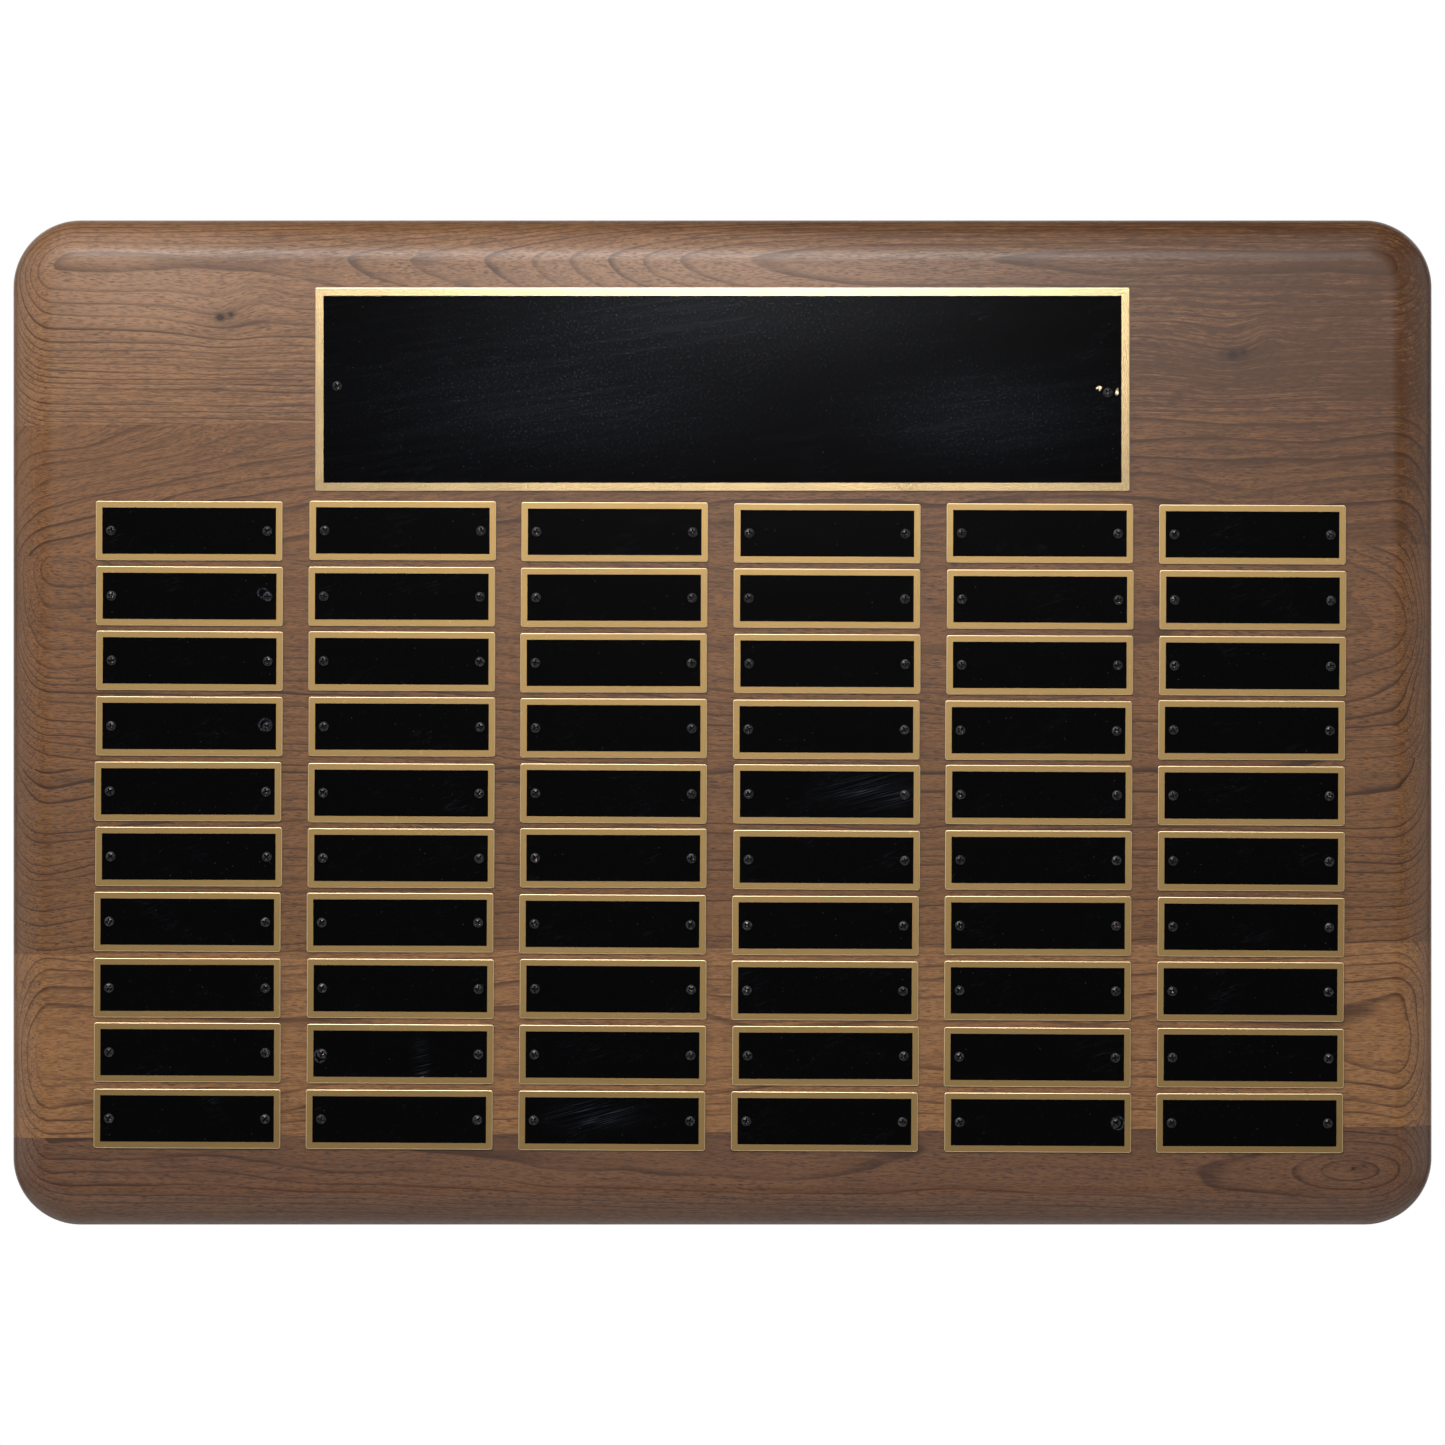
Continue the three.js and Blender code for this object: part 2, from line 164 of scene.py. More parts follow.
class Shade:
    """The node tree of a material or a world, built up by expressions."""

    def __init__(self, owner: bpy.types.Material | bpy.types.World) -> None:
        """Starts an empty tree in a new material or world."""
        self.owner = owner
        owner.use_nodes = True
        self.tree = owner.node_tree
        self.tree.nodes.clear()

    @classmethod
    def named(cls, name: str) -> "Shade":
        """An empty tree in a new material of that name."""
        return cls(bpy.data.materials.new(name))

    def node(
        self,
        kind: str,
        settings: dict[str, object] | None = None,
        inputs: dict[str | int, object] | None = None,
    ) -> bpy.types.Node:
        """Adds one node of any type.

        Args:
            kind: the node's type.
            settings: its own properties, set first; "stops" gives a colour ramp's (place, colour) pairs.
            inputs: a value, Value or socket for each input, by its name or number.

        Returns:
            The node.
        """
        node = self.tree.nodes.new(kind)
        for key, setting in (settings or {}).items():
            if key == "stops":
                self._set_stops(node.color_ramp, setting)
            else:
                setattr(node, key, setting)
        for key, value in (inputs or {}).items():
            socket = node.inputs[key]
            if isinstance(value, Value):
                self.tree.links.new(value.socket, socket)
            elif isinstance(value, bpy.types.NodeSocket):
                self.tree.links.new(value, socket)
            else:
                socket.default_value = value
        return node

    @staticmethod
    def _set_stops(ramp: bpy.types.ColorRamp, stops: list[tuple[float, Colour]]) -> None:
        """Gives a ramp its stops, each a place from 0 to 1 and a colour."""
        while len(ramp.elements) < len(stops):
            ramp.elements.new(1.0)
        for element, (place, colour) in zip(ramp.elements, stops):
            element.position = place
            element.color = (*colour, 1.0)

    def millimetres(self) -> tuple[Value, Value, Value]:
        """The surface point's place in the frame, in millimetres, as x, y and z."""
        place = self.node("ShaderNodeTexCoord").outputs["Object"]
        settings = {"operation": "SCALE"}
        scaled = self.node("ShaderNodeVectorMath", settings, {0: place, "Scale": 1.0 / MM})
        split = self.node("ShaderNodeSeparateXYZ", None, {0: scaled.outputs[0]})
        return tuple(Value(self, socket) for socket in split.outputs)

    def vector(self, x: Value | float, y: Value | float, z: Value | float) -> bpy.types.NodeSocket:
        """Three numbers as one vector."""
        return self.node("ShaderNodeCombineXYZ", None, {0: x, 1: y, 2: z}).outputs[0]

    def noise(self, place: bpy.types.NodeSocket, detail: float = 2.0, roughness: float = 0.5) -> Value:
        """Smooth noise round 0.5, at one cycle per unit of place."""
        inputs = {"Vector": place, "Scale": 1.0, "Detail": detail, "Roughness": roughness}
        return Value(self, self.node("ShaderNodeTexNoise", None, inputs).outputs[0])

    def drift(self, place: bpy.types.NodeSocket, detail: float = 1.0) -> tuple[Value, Value, Value]:
        """Three independent noises round 0.5, at one cycle per unit of place."""
        inputs = {"Vector": place, "Scale": 1.0, "Detail": detail}
        colour = self.node("ShaderNodeTexNoise", None, inputs).outputs["Color"]
        split = self.node("ShaderNodeSeparateXYZ", None, {0: colour})
        return tuple(Value(self, socket) for socket in split.outputs)

    def dots(self, place: bpy.types.NodeSocket, radius: float) -> Value:
        """1 within radius of each point of a jittered lattice with one point per unit, and 0 elsewhere."""
        inputs = {"Vector": place, "Scale": 1.0}
        distance = Value(self, self.node("ShaderNodeTexVoronoi", None, inputs).outputs["Distance"])
        return 1.0 - distance.ease(0.6 * radius, radius)

    def lottery(self, ticket: Value) -> Value:
        """A number from 0 to 1 that is drawn anew for each whole number."""
        node = self.node("ShaderNodeTexWhiteNoise", {"noise_dimensions": "1D"}, {"W": ticket})
        return Value(self, node.outputs[0])

    def ramp(self, value: Value, stops: list[tuple[float, Colour]]) -> bpy.types.NodeSocket:
        """The colour that a ramp of stops gives for value."""
        return self.node("ShaderNodeValToRGB", {"stops": stops}, {0: value}).outputs[0]

    def mix(
        self,
        share: Value,
        first: bpy.types.NodeSocket | Colour,
        second: bpy.types.NodeSocket | Colour,
    ) -> bpy.types.NodeSocket:
        """Two colours mixed.

        Args:
            share: how much of the second colour shows, from 0 to 1.
            first: the colour at 0.
            second: the colour at 1.

        Returns:
            The mixed colour's socket.
        """
        colours = [(*c, 1.0) if isinstance(c, tuple) else c for c in (first, second)]
        settings = {"data_type": "RGBA", "clamp_factor": True}
        inputs = {0: share, 6: colours[0], 7: colours[1]}
        return self.node("ShaderNodeMix", settings, inputs).outputs[2]

    def bump(self, height: Value, depth: float) -> bpy.types.NodeSocket:
        """A normal roughened by a height from 0 to 1 that stands for depth metres."""
        inputs = {"Height": height, "Distance": depth, "Strength": 1.0}
        return self.node("ShaderNodeBump", None, inputs).outputs[0]

    def finish(self, **sockets: object) -> bpy.types.Material:
        """Ends the tree in a Principled shader.

        Args:
            **sockets: the shader's inputs, with _ for a space in their names.

        Returns:
            The material.
        """
        inputs = {name.replace("_", " "): value for name, value in sockets.items()}
        shader = self.node("ShaderNodeBsdfPrincipled", None, inputs)
        self.node("ShaderNodeOutputMaterial", None, {"Surface": shader.outputs[0]})
        return self.owner


# ---- Surfaces --------------------------------------------------------------------------------------------


def rounded_ring(width: float, height: float, radius: float, inset: float, steps: int) -> np.ndarray:
    """A rectangle with round corners, drawn in by inset.

    Each corner is a quarter circle about a centre that stays put while the radius shrinks from its full size
    to almost nothing, and then moves in with the inset.

    Args:
        width: the whole width along X.
        height: the whole height along Z.
        radius: the corners' radius where inset is 0.
        inset: how far the ring lies inside the outline.
        steps: flat sides to a corner.

    Returns:
        (x, z) points, anticlockwise as seen from the front, as an array of shape (4 * (steps + 1), 2).
    """
    left = max(radius - inset, LEAST_RADIUS)
    turn = np.linspace(0.0, math.pi / 2, steps + 1)
    corners = np.array([(1, 1), (-1, 1), (-1, -1), (1, -1)])
    angle = (np.arange(4)[:, None] * math.pi / 2 + turn).ravel()
    centre = np.repeat(corners * [width / 2 - inset - left, height / 2 - inset - left], steps + 1, axis=0)
    return centre + left * np.stack([np.cos(angle), np.sin(angle)], axis=1)


def stack_rings(outline: tuple[float, float, float], profile: np.ndarray, steps: int) -> np.ndarray:
    """A profile carried round a rounded rectangle.

    Args:
        outline: the rectangle's width, height and corner radius.
        profile: (inset, y) pairs, from the middle of the front to the middle of the back.
        steps: flat sides to a corner.

    Returns:
        One ring of points (x, y, z) for each pair of the profile.
    """
    rings = []
    for inset, y in profile:
        flat = rounded_ring(*outline, inset, steps)
        rings.append(np.stack([flat[:, 0], np.full(len(flat), y), flat[:, 1]], axis=1))
    return np.array(rings)


def ring_faces(rings: int, points: int) -> list[list[int]]:
    """The quads between each two closed rings of points, and a cap on each end ring.

    Args:
        rings: how many rings there are, from the front to the back.
        points: how many points each has, anticlockwise as seen from the front.

    Returns:
        The faces' vertex numbers, turned outwards: quads ring by ring, then the first cap, then the last.
    """
    here = np.arange(rings - 1)[:, None] * points + np.arange(points)
    beside = np.arange(rings - 1)[:, None] * points + (np.arange(points) + 1) % points
    quads = np.stack([here, here + points, beside + points, beside], axis=-1).reshape(-1, 4).tolist()
    first_cap = list(range(points))
    last_cap = list(range((rings - 1) * points, rings * points))[::-1]
    return [*quads, first_cap, last_cap]


def mesh_of(name: str, points: np.ndarray, faces: list[list[int]], sharp: float = SHARP) -> bpy.types.Mesh:
    """A smooth-shaded mesh whose edges stay sharp where they turn by more than sharp degrees.

    Args:
        name: the mesh's name.
        points: (x, y, z) points, in any array shape that ends in 3.
        faces: vertex numbers of each face.
        sharp: the least angle of a sharp edge, in degrees.

    Returns:
        The mesh.
    """
    mesh = bpy.data.meshes.new(name)
    mesh.from_pydata(np.asarray(points, float).reshape(-1, 3).tolist(), [], faces)
    smooth_mesh(mesh, sharp)
    return mesh


def smooth_mesh(mesh: bpy.types.Mesh, sharp: float = SHARP) -> None:
    """Shades a mesh smooth, with sharp edges where it turns by more than sharp degrees."""
    mesh.polygons.foreach_set("use_smooth", np.ones(len(mesh.polygons), bool))
    mesh.set_sharp_from_angle(angle=math.radians(sharp))
    mesh.update()


def turn_and_place(points: np.ndarray, turn: float, place: tuple[float, float, float]) -> np.ndarray:
    """Points turned clockwise as seen from the front, and then moved.

    Args:
        points: an array that ends in (x, y, z).
        turn: the angle in radians.
        place: where the origin goes.

    Returns:
        The new points.
    """
    cos, sin = math.cos(turn), math.sin(turn)
    rotation = np.array([[cos, 0, sin], [0, 1, 0], [-sin, 0, cos]])
    return points @ rotation.T + np.array(place)


def piece_of(
    mesh: bpy.types.Mesh,
    materials: list[bpy.types.Material],
    slot: str,
    replaces: tuple[str, ...] = (),
) -> bpy.types.Object:
    """Puts a finished mesh into the scene as a piece of the plaque.

    Args:
        mesh: the piece's mesh, in place, whose name the piece takes.
        materials: the materials that its faces number.
        slot: the record's material slot; not used.
        replaces: the CAD nodes that the piece stands for.

    Returns:
        The piece's object.
    """
    piece = bpy.data.objects.new(mesh.name, mesh)
    bpy.context.scene.collection.objects.link(piece)
    for material in materials:
        mesh.materials.append(material)
    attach(piece, BODY)
    if replaces:
        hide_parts(*replaces)
    return piece


# ---- Finishes --------------------------------------------------------------------------------------------


@dataclass(frozen=True)
class Spot:
    """A place on the front, with a size across and up. Lengths are in millimetres."""

    x: float
    z: float
    wide: float
    high: float

    def bell(self, x: Value, z: Value) -> Value:
        """1 in the spot's middle, falling to 0 far off."""
        across, along = (x - self.x) / self.wide, (z - self.z) / self.high
        return (across * across + along * along).gauss()

    def ring(self, x: Value, z: Value) -> Value:
        """1 on an ellipse round the spot, falling to 0 on both sides."""
        across, along = (x - self.x) / self.wide, (z - self.z) / self.high
        off = ((across * across + along * along) ** 0.5 - 1.0) * 7.0
        return (off * off).gauss()


@dataclass(frozen=True)
class Knot:
    """A pin knot, which the rings bend round. Lengths are in millimetres."""

    x: float
    z: float
    pull: float = -3.4  # how far the rings move down at the knot
    hump: float = 2.4  # and beyond it, above and to the right
    reach_x: float = 15.0
    reach_z: float = 14.0
    eye: float = 1.5  # the dark eye's size, or 0 for none
    pit: float = 0.0  # how much nearer the heart comes, which closes the rings round the knot

    def bell(self, x: Value, z: Value, right: float, up: float, wide: float, high: float) -> Value:
        """A bell beside the knot.

        Args:
            x: the point's place.
            z: the same, upwards.
            right: how far right of the knot the bell's middle lies.
            up: how far above it.
            wide: the bell's reach along x.
            high: its reach along z.

        Returns:
            1 in the bell's middle, falling to 0 far off.
        """
        across, along = (x - (self.x + right)) / wide, (z - (self.z + up)) / high
        return (across * across + along * along).gauss()


@dataclass(frozen=True)
class Walnut:
    """Walnut as one stave shows it, cut from rings round a heart that lies in front of the face.

    A point's ring is its distance from the heart's line divided by the ring spacing. Lengths are in
    millimetres.
    """

    name: str
    heart_left: float  # the heart's height at the board's left end
    heart_right: float
    depth: float  # how far the heart lies in front of the board's face
    ring: float
    seed: float
    light: Colour
    line: float  # how strongly the late wood shows
    wander: float  # how far the heart strays from its line
    dark: Colour = (0.082, 0.037, 0.018)
    even: float = 0.15  # how alike the lines are, from 0 to 1
    sweep: float = 0.0  # the depth falls by twice this much, from left to right, round sweep_at
    sweep_at: float = 0.0
    sweep_length: float = 90.0
    flare_left: float = 0.0  # how much nearer the heart comes at the board's left end
    flare_right: float = 0.0
    flare_length: float = 38.0
    bend: float = 0.0  # the heart rises by twice this much, from left to right, round bend_at
    bend_at: float = 0.0
    bend_length: float = 90.0
    pores: float = 0.75  # how dark the vessels are
    painted_shade_right: float = 0.0  # painted shade: how much darker the right end is painted than the left, for the light that falls from the left
    knots: tuple[Knot, ...] = ()
    pale: tuple[Spot, ...] = ()  # where the wood is painted paler: partly lighter wood, partly a painted sheen of the lamp above
    pale_sheen_colour: Colour = (0.36, 0.215, 0.140)
    clear_within: float = 210.0  # from the board's middle, the lines break up in patches
    closed_beyond: float = 258.0  # and from here out they run whole

    def heart_place(self, shade: Shade, x: Value, y: Value, z: Value) -> tuple[Value, Value]:
        """Where a point lies beside the heart's line, with the slow wander of a real log.

        Args:
            shade: the tree to build in.
            x: the point's place, in millimetres.
            y: the same, towards the back.
            z: the same, upwards.

        Returns:
            How far behind the heart and how far above it the point lies, in millimetres.
        """
        face = CAD_LOW.y / MM
        slope = (self.heart_right - self.heart_left) / (2 * HALF_WIDTH)
        middle = (self.heart_right + self.heart_left) / 2
        slow = shade.drift(shade.vector(x * 0.0075 + self.seed, y * 0.022, z * 0.022 + self.seed), 2.0)
        quick = shade.noise(shade.vector(x * 0.035, y * 0.16 + self.seed, z * 0.16), 2.0)
        behind = y - (face - self.depth) + (slow[0] - 0.5) * (2 * self.wander)
        for end, flare in ((-1.0, self.flare_left), (1.0, self.flare_right)):
            if flare:
                away = (x - end * HALF_WIDTH) / (-end * self.flare_length)
                behind = behind - away.gauss() * flare
        if self.sweep:
            behind = behind - ((x - self.sweep_at) / self.sweep_length).tanh() * self.sweep
        above = z - x * slope - middle + (slow[1] - 0.5) * (2 * self.wander) + (quick - 0.5) * 1.6
        if self.bend:
            above = above - ((x - self.bend_at) / self.bend_length).tanh() * self.bend
        for knot in self.knots:
            near = knot.bell(x, z, 0.0, 0.0, knot.reach_x, knot.reach_z)
            above = above - near * knot.pull - knot.bell(x, z, 13.0, 7.0, 8.0, 9.0) * knot.hump
            behind = behind - near * knot.pit
        return behind, above

    def knot_shade(self, x: Value, z: Value) -> Value | None:
        """How dark a point is from the knots' eyes, from 0 to 1: two small spots and a soft halo to each."""
        marks = []
        for knot in self.knots:
            if knot.eye:
                marks.append(knot.bell(x, z, 0.0, 0.0, 1.1 * knot.eye, 0.9 * knot.eye))
                marks.append(knot.bell(x, z, 4.1, 1.1, 0.8 * knot.eye, 0.7 * knot.eye) * 0.8)
                marks.append(knot.bell(x, z, 2.0, 0.0, 6.0 * knot.eye, 2.6 * knot.eye) * 0.34)
        return Value.total(marks) if marks else None

    def late_wood(self, shade: Shade, x: Value, behind: Value, above: Value) -> tuple[Value, Value]:
        """The dark line that ends each year's ring.

        A line deepens slowly to its end and then stops short. Each ring draws its own strength, and the
        lines break up in patches except towards the board's ends.

        Args:
            shade: the tree to build in.
            x: the point's place, in millimetres.
            behind: how far behind the heart it lies.
            above: how far above the heart it lies.

        Returns:
            The point's place within its ring, from 0 to 1, and how strong the line is there.
        """
        rings = ((behind * behind + above * above) ** 0.5) / self.ring
        uneven = shade.noise(shade.vector(rings * 0.21 + self.seed, x * 0.004, 0.0), 1.0)
        rings = rings + (uneven - 0.5) * 2.2
        place = rings.fraction()
        late = (place.ease(0.74, 0.95) * 0.85 + place * place * 0.3) * (1.0 - place.ease(0.955, 1.0))
        strength = shade.lottery(rings.whole() + self.seed) * (1.0 - self.even) + self.even
        wave = shade.vector(x * 0.02, behind * 0.3 + self.seed, above * 0.3)
        patch = shade.noise(wave, 3.0).ease(0.3, 0.6)
        ends = (x * x).ease(self.clear_within**2, self.closed_beyond**2)
        return place, late * strength * (patch * (0.5 - ends * 0.3) + ends * 0.5 + 0.5) * self.line

    def darker(self, share: float) -> Colour:
        """The dark colour made darker still."""
        return tuple(share * c for c in self.dark)

    def material(self) -> bpy.types.Material:
        """Builds the material: rings, vessels and fibres as one solid that every surface cuts through, with
        a painted shade towards the right end and pale spots that are partly paler wood and partly painted
        sheen.
        """
        shade = Shade.named(self.name)
        x, y, z = shade.millimetres()
        seed = self.seed
        behind, above = self.heart_place(shade, x, y, z)
        place, line = self.late_wood(shade, x, behind, above)

        streak = shade.noise(shade.vector(x * 0.020 + seed, behind * 0.8, above * 0.8), 3.0, 0.7)
        fibre = shade.noise(shade.vector(x * 0.16, behind * 2.2 + seed, above * 2.2), 2.0, 0.7)
        grain = shade.noise(shade.vector(x * 0.42, behind * 2.6, above * 2.6 + seed), 1.0, 0.6)
        dash = shade.dots(shade.vector(x * 0.20 + seed, behind * 1.9, above * 1.9), 0.42)
        vessel = dash * 0.7 + grain.ease(0.50, 0.64) * 0.65
        vessel = vessel * (1.0 - place.ease(0.3, 0.9) * 0.3) * self.pores
        cloud = shade.noise(shade.vector(x * 0.008, y * 0.05, z * 0.05 + seed), 2.0)
        mottle = shade.noise(shade.vector(x * 0.09, y * 0.12, z * 0.12 + seed), 2.0)

        depth = (streak - 0.5) * 2.0 + (fibre - 0.5) * 1.6 + (cloud - 0.5) * 0.9 + (mottle - 0.5) * 0.4
        # painted shade: the depth rises towards the right end, so the wood is painted darker where less
        # light falls
        depth = depth + line * 0.8 + (x / (2 * HALF_WIDTH) + 0.5) * self.painted_shade_right + 0.12
        between = tuple(0.60 * a + 0.40 * b for a, b in zip(self.light, self.dark))
        wood = shade.ramp(depth, [(0.0, self.light), (0.4, between), (1.0, self.dark)])
        # painted sheen, partly paler wood: the pale spots lighten the wood below the top rim and at its left
        # end
        for spot in self.pale:
            wood = shade.mix(spot.bell(x, z) * 0.55, wood, self.pale_sheen_colour)
        wood = shade.mix(line * 0.85, wood, self.darker(0.6))
        wood = shade.mix(vessel * 0.85, wood, self.darker(0.42))
        knots = self.knot_shade(x, z)
        if knots is not None:
            wood = shade.mix(knots, wood, self.darker(0.3))
        relief = 1.0 - vessel * 0.8 - line * 0.3 + (fibre - 0.5) * 0.4
        return shade.finish(
            Base_Color=wood,
            Roughness=vessel * 0.10 + (fibre - 0.5) * 0.10 + 0.33,
            Normal=shade.bump(relief, 0.007 * MM),
            Specular_IOR_Level=0.33,
        )


@dataclass(frozen=True)
class BareBrass:
    """Brushed brass: fine lines along X, with faint stains and small bright nicks on its edges."""

    name: str
    colour: Colour
    roughness: float
    lines: float  # the depth of the brushing, in millimetres, or 0 for a border that is polished flat
    streaks: float = 1.0  # how strongly the brushing shows as colour and gloss
    fineness: float = 3.4  # brush lines to a millimetre

    def material(self) -> bpy.types.Material:
        """Builds the material."""
        shade = Shade.named(self.name)
        x, y, z = shade.millimetres()
        brushing = shade.noise(shade.vector(x * 0.03, y * 3.0, z * 3.4), 3.0, 0.7)
        furrows = shade.noise(shade.vector(x * 0.05, y * self.fineness, z * self.fineness), 1.0, 0.5)
        stain = shade.noise(shade.vector(x * 0.05, y * 0.1, z * 0.09), 3.0)
        nick = shade.noise(shade.vector(x * 0.33, y * 0.5, z * 0.33), 3.0, 0.65).ease(0.66, 0.72)
        dull = tuple(0.72 * c for c in self.colour)
        bright = tuple(min(1.0, 1.35 * c) for c in self.colour)
        metal = shade.mix((stain - 0.35) * 0.7 + (brushing - 0.5) * (0.55 * self.streaks), self.colour, dull)
        metal = shade.mix(nick * 0.6, metal, bright)
        return shade.finish(
            Base_Color=metal,
            Metallic=1.0,
            Roughness=(brushing - 0.5) * (0.12 * self.streaks) + (stain - 0.5) * 0.08 + self.roughness,
            Normal=shade.bump(furrows, self.lines * MM),
        )


@dataclass(frozen=True)
class BlackLacquer:
    """Black lacquer over brass: dust, hairline scratches, a cloth's smears, and chips down to the metal."""

    name: str
    roughness: float
    smear: float  # how strongly the smears show
    chips: tuple[Spot, ...]
    veils: tuple[Spot, ...] = ()  # where a dull film lies
    scuffs: tuple[Spot, ...] = ()  # rings that a slipping driver left round a screw
    scratches: tuple[Spot, ...] = ()
    base: Colour = (0.0010, 0.0010, 0.0012)
    bloom: Colour = (0.040, 0.045, 0.060)
    metal: Colour = (0.66, 0.52, 0.34)

    def material(self) -> bpy.types.Material:
        """Builds the material."""
        shade = Shade.named(self.name)
        x, y, z = shade.millimetres()
        dust = shade.dots(shade.vector(x * 0.26, y, z * 0.26), 0.05)
        faint = shade.noise(shade.vector(x * 0.9, y, z * 0.9), 3.0, 0.8).ease(0.62, 0.78)
        bend = shade.noise(shade.vector(x * 0.012, 0.0, z * 0.02), 1.0) * 9.0
        hair = (shade.noise(shade.vector(x * 0.05 + z * 0.06, bend, z * 0.9 - x * 0.35), 1.0) - 0.5) * 80.0
        where = shade.noise(shade.vector(x * 0.045, 2.0, z * 0.07), 2.0).ease(0.52, 0.66)
        wipe = shade.noise(shade.vector(x * 0.016 + z * 0.010, bend * 0.4, z * 0.5 - x * 0.07), 4.0, 0.7)
        grit = shade.noise(shade.vector(x * 1.4, y, z * 1.4), 1.0, 0.6)
        haze = dust * 0.8 + faint * 0.30 + (hair * hair).gauss() * where * 0.10
        haze = haze + wipe.ease(0.45, 0.75) * self.smear
        if self.veils:
            film = Value.total([spot.bell(x, z) for spot in self.veils])
            haze = haze + film * (wipe.ease(0.3, 0.75) * 0.04 + grit.ease(0.62, 0.72) * 0.5 + 0.07)
        marks = [spot.ring(x, z) * grit.ease(0.38, 0.62) for spot in self.scuffs]
        if self.scratches:
            lines = (shade.noise(shade.vector(x * 0.03, z * 1.5 - x * 0.4, 3.0), 1.0) - 0.5) * 34.0
            marks += [spot.bell(x, z) * (lines * lines).gauss() * 0.5 for spot in self.scratches]
        if marks:
            haze = haze + Value.total(marks) * 1.1
        flake = shade.noise(shade.vector(x * 1.1, y, z * 1.1), 3.0, 0.75)
        chipped = Value.total([spot.bell(x, z) for spot in self.chips])
        bare = (chipped * 0.6 + flake * 1.2).ease(1.0, 1.08)
        return shade.finish(
            Base_Color=shade.mix(bare, shade.mix(haze, self.base, self.bloom), self.metal),
            Metallic=bare,
            Roughness=haze * 0.10 + bare * 0.25 + self.roughness,
            Specular_IOR_Level=0.22,
        )


@dataclass(frozen=True)
class BlackOxide:
    """Blackened steel of a screw's head, which wears to grey on its high places."""

    name: str
    black: Colour
    worn: Colour

    def material(self) -> bpy.types.Material:
        """Builds the material."""
        shade = Shade.named(self.name)
        x, y, z = shade.millimetres()
        rub = shade.noise(shade.vector(x * 0.9, y * 0.9, z * 0.9), 3.0, 0.7).ease(0.45, 0.72)
        colour = shade.mix(rub, self.black, self.worn)
        return shade.finish(Base_Color=colour, Metallic=0.85, Roughness=rub * -0.1 + 0.42)


@dataclass(frozen=True)
class WornRecess:
    """The floor of a driver recess, where the bit has rubbed the black away."""

    name: str

    def material(self) -> bpy.types.Material:
        """Builds the material."""
        shade = Shade.named(self.name)
        x, y, z = shade.millimetres()
        rub = shade.noise(shade.vector(x * 1.5, y * 1.5, z * 1.5), 2.0).ease(0.60, 0.68)
        colour = shade.mix(rub, (0.002, 0.002, 0.002), (0.34, 0.22, 0.16))
        return shade.finish(Base_Color=colour, Metallic=0.9, Roughness=0.38)


@dataclass(frozen=True)
class ZincPlate:
    """Bright zinc plating on the hangers and their screws, clouded and finely scratched."""

    name: str

    def material(self) -> bpy.types.Material:
        """Builds the material."""
        shade = Shade.named(self.name)
        x, y, z = shade.millimetres()
        cloud = shade.noise(shade.vector(x * 0.35, y * 0.35, z * 0.35), 4.0, 0.6)
        drawn = shade.noise(shade.vector(x * 4.0, y, z * 0.12), 2.0, 0.6)
        colour = shade.mix(cloud, (0.60, 0.61, 0.60), (0.33, 0.345, 0.36))
        return shade.finish(
            Base_Color=colour,
            Metallic=1.0,
            Roughness=cloud * 0.3 + drawn * 0.1 + 0.18,
            Normal=shade.bump(drawn, 0.01 * MM),
        )


@dataclass(frozen=True)
class PaleFloor:
    """A plain pale floor, with the faintest unevenness."""

    name: str = "pale_floor"

    def material(self) -> bpy.types.Material:
        """Builds the material."""
        shade = Shade.named(self.name)
        x, y, _ = shade.millimetres()
        cloud = shade.noise(shade.vector(x * 0.002, y * 0.002, 0.0), 3.0)
        colour = shade.mix(cloud, (0.80, 0.80, 0.80), (0.84, 0.84, 0.835))
        return shade.finish(Base_Color=colour, Roughness=0.7)


# ---- Board -----------------------------------------------------------------------------------------------


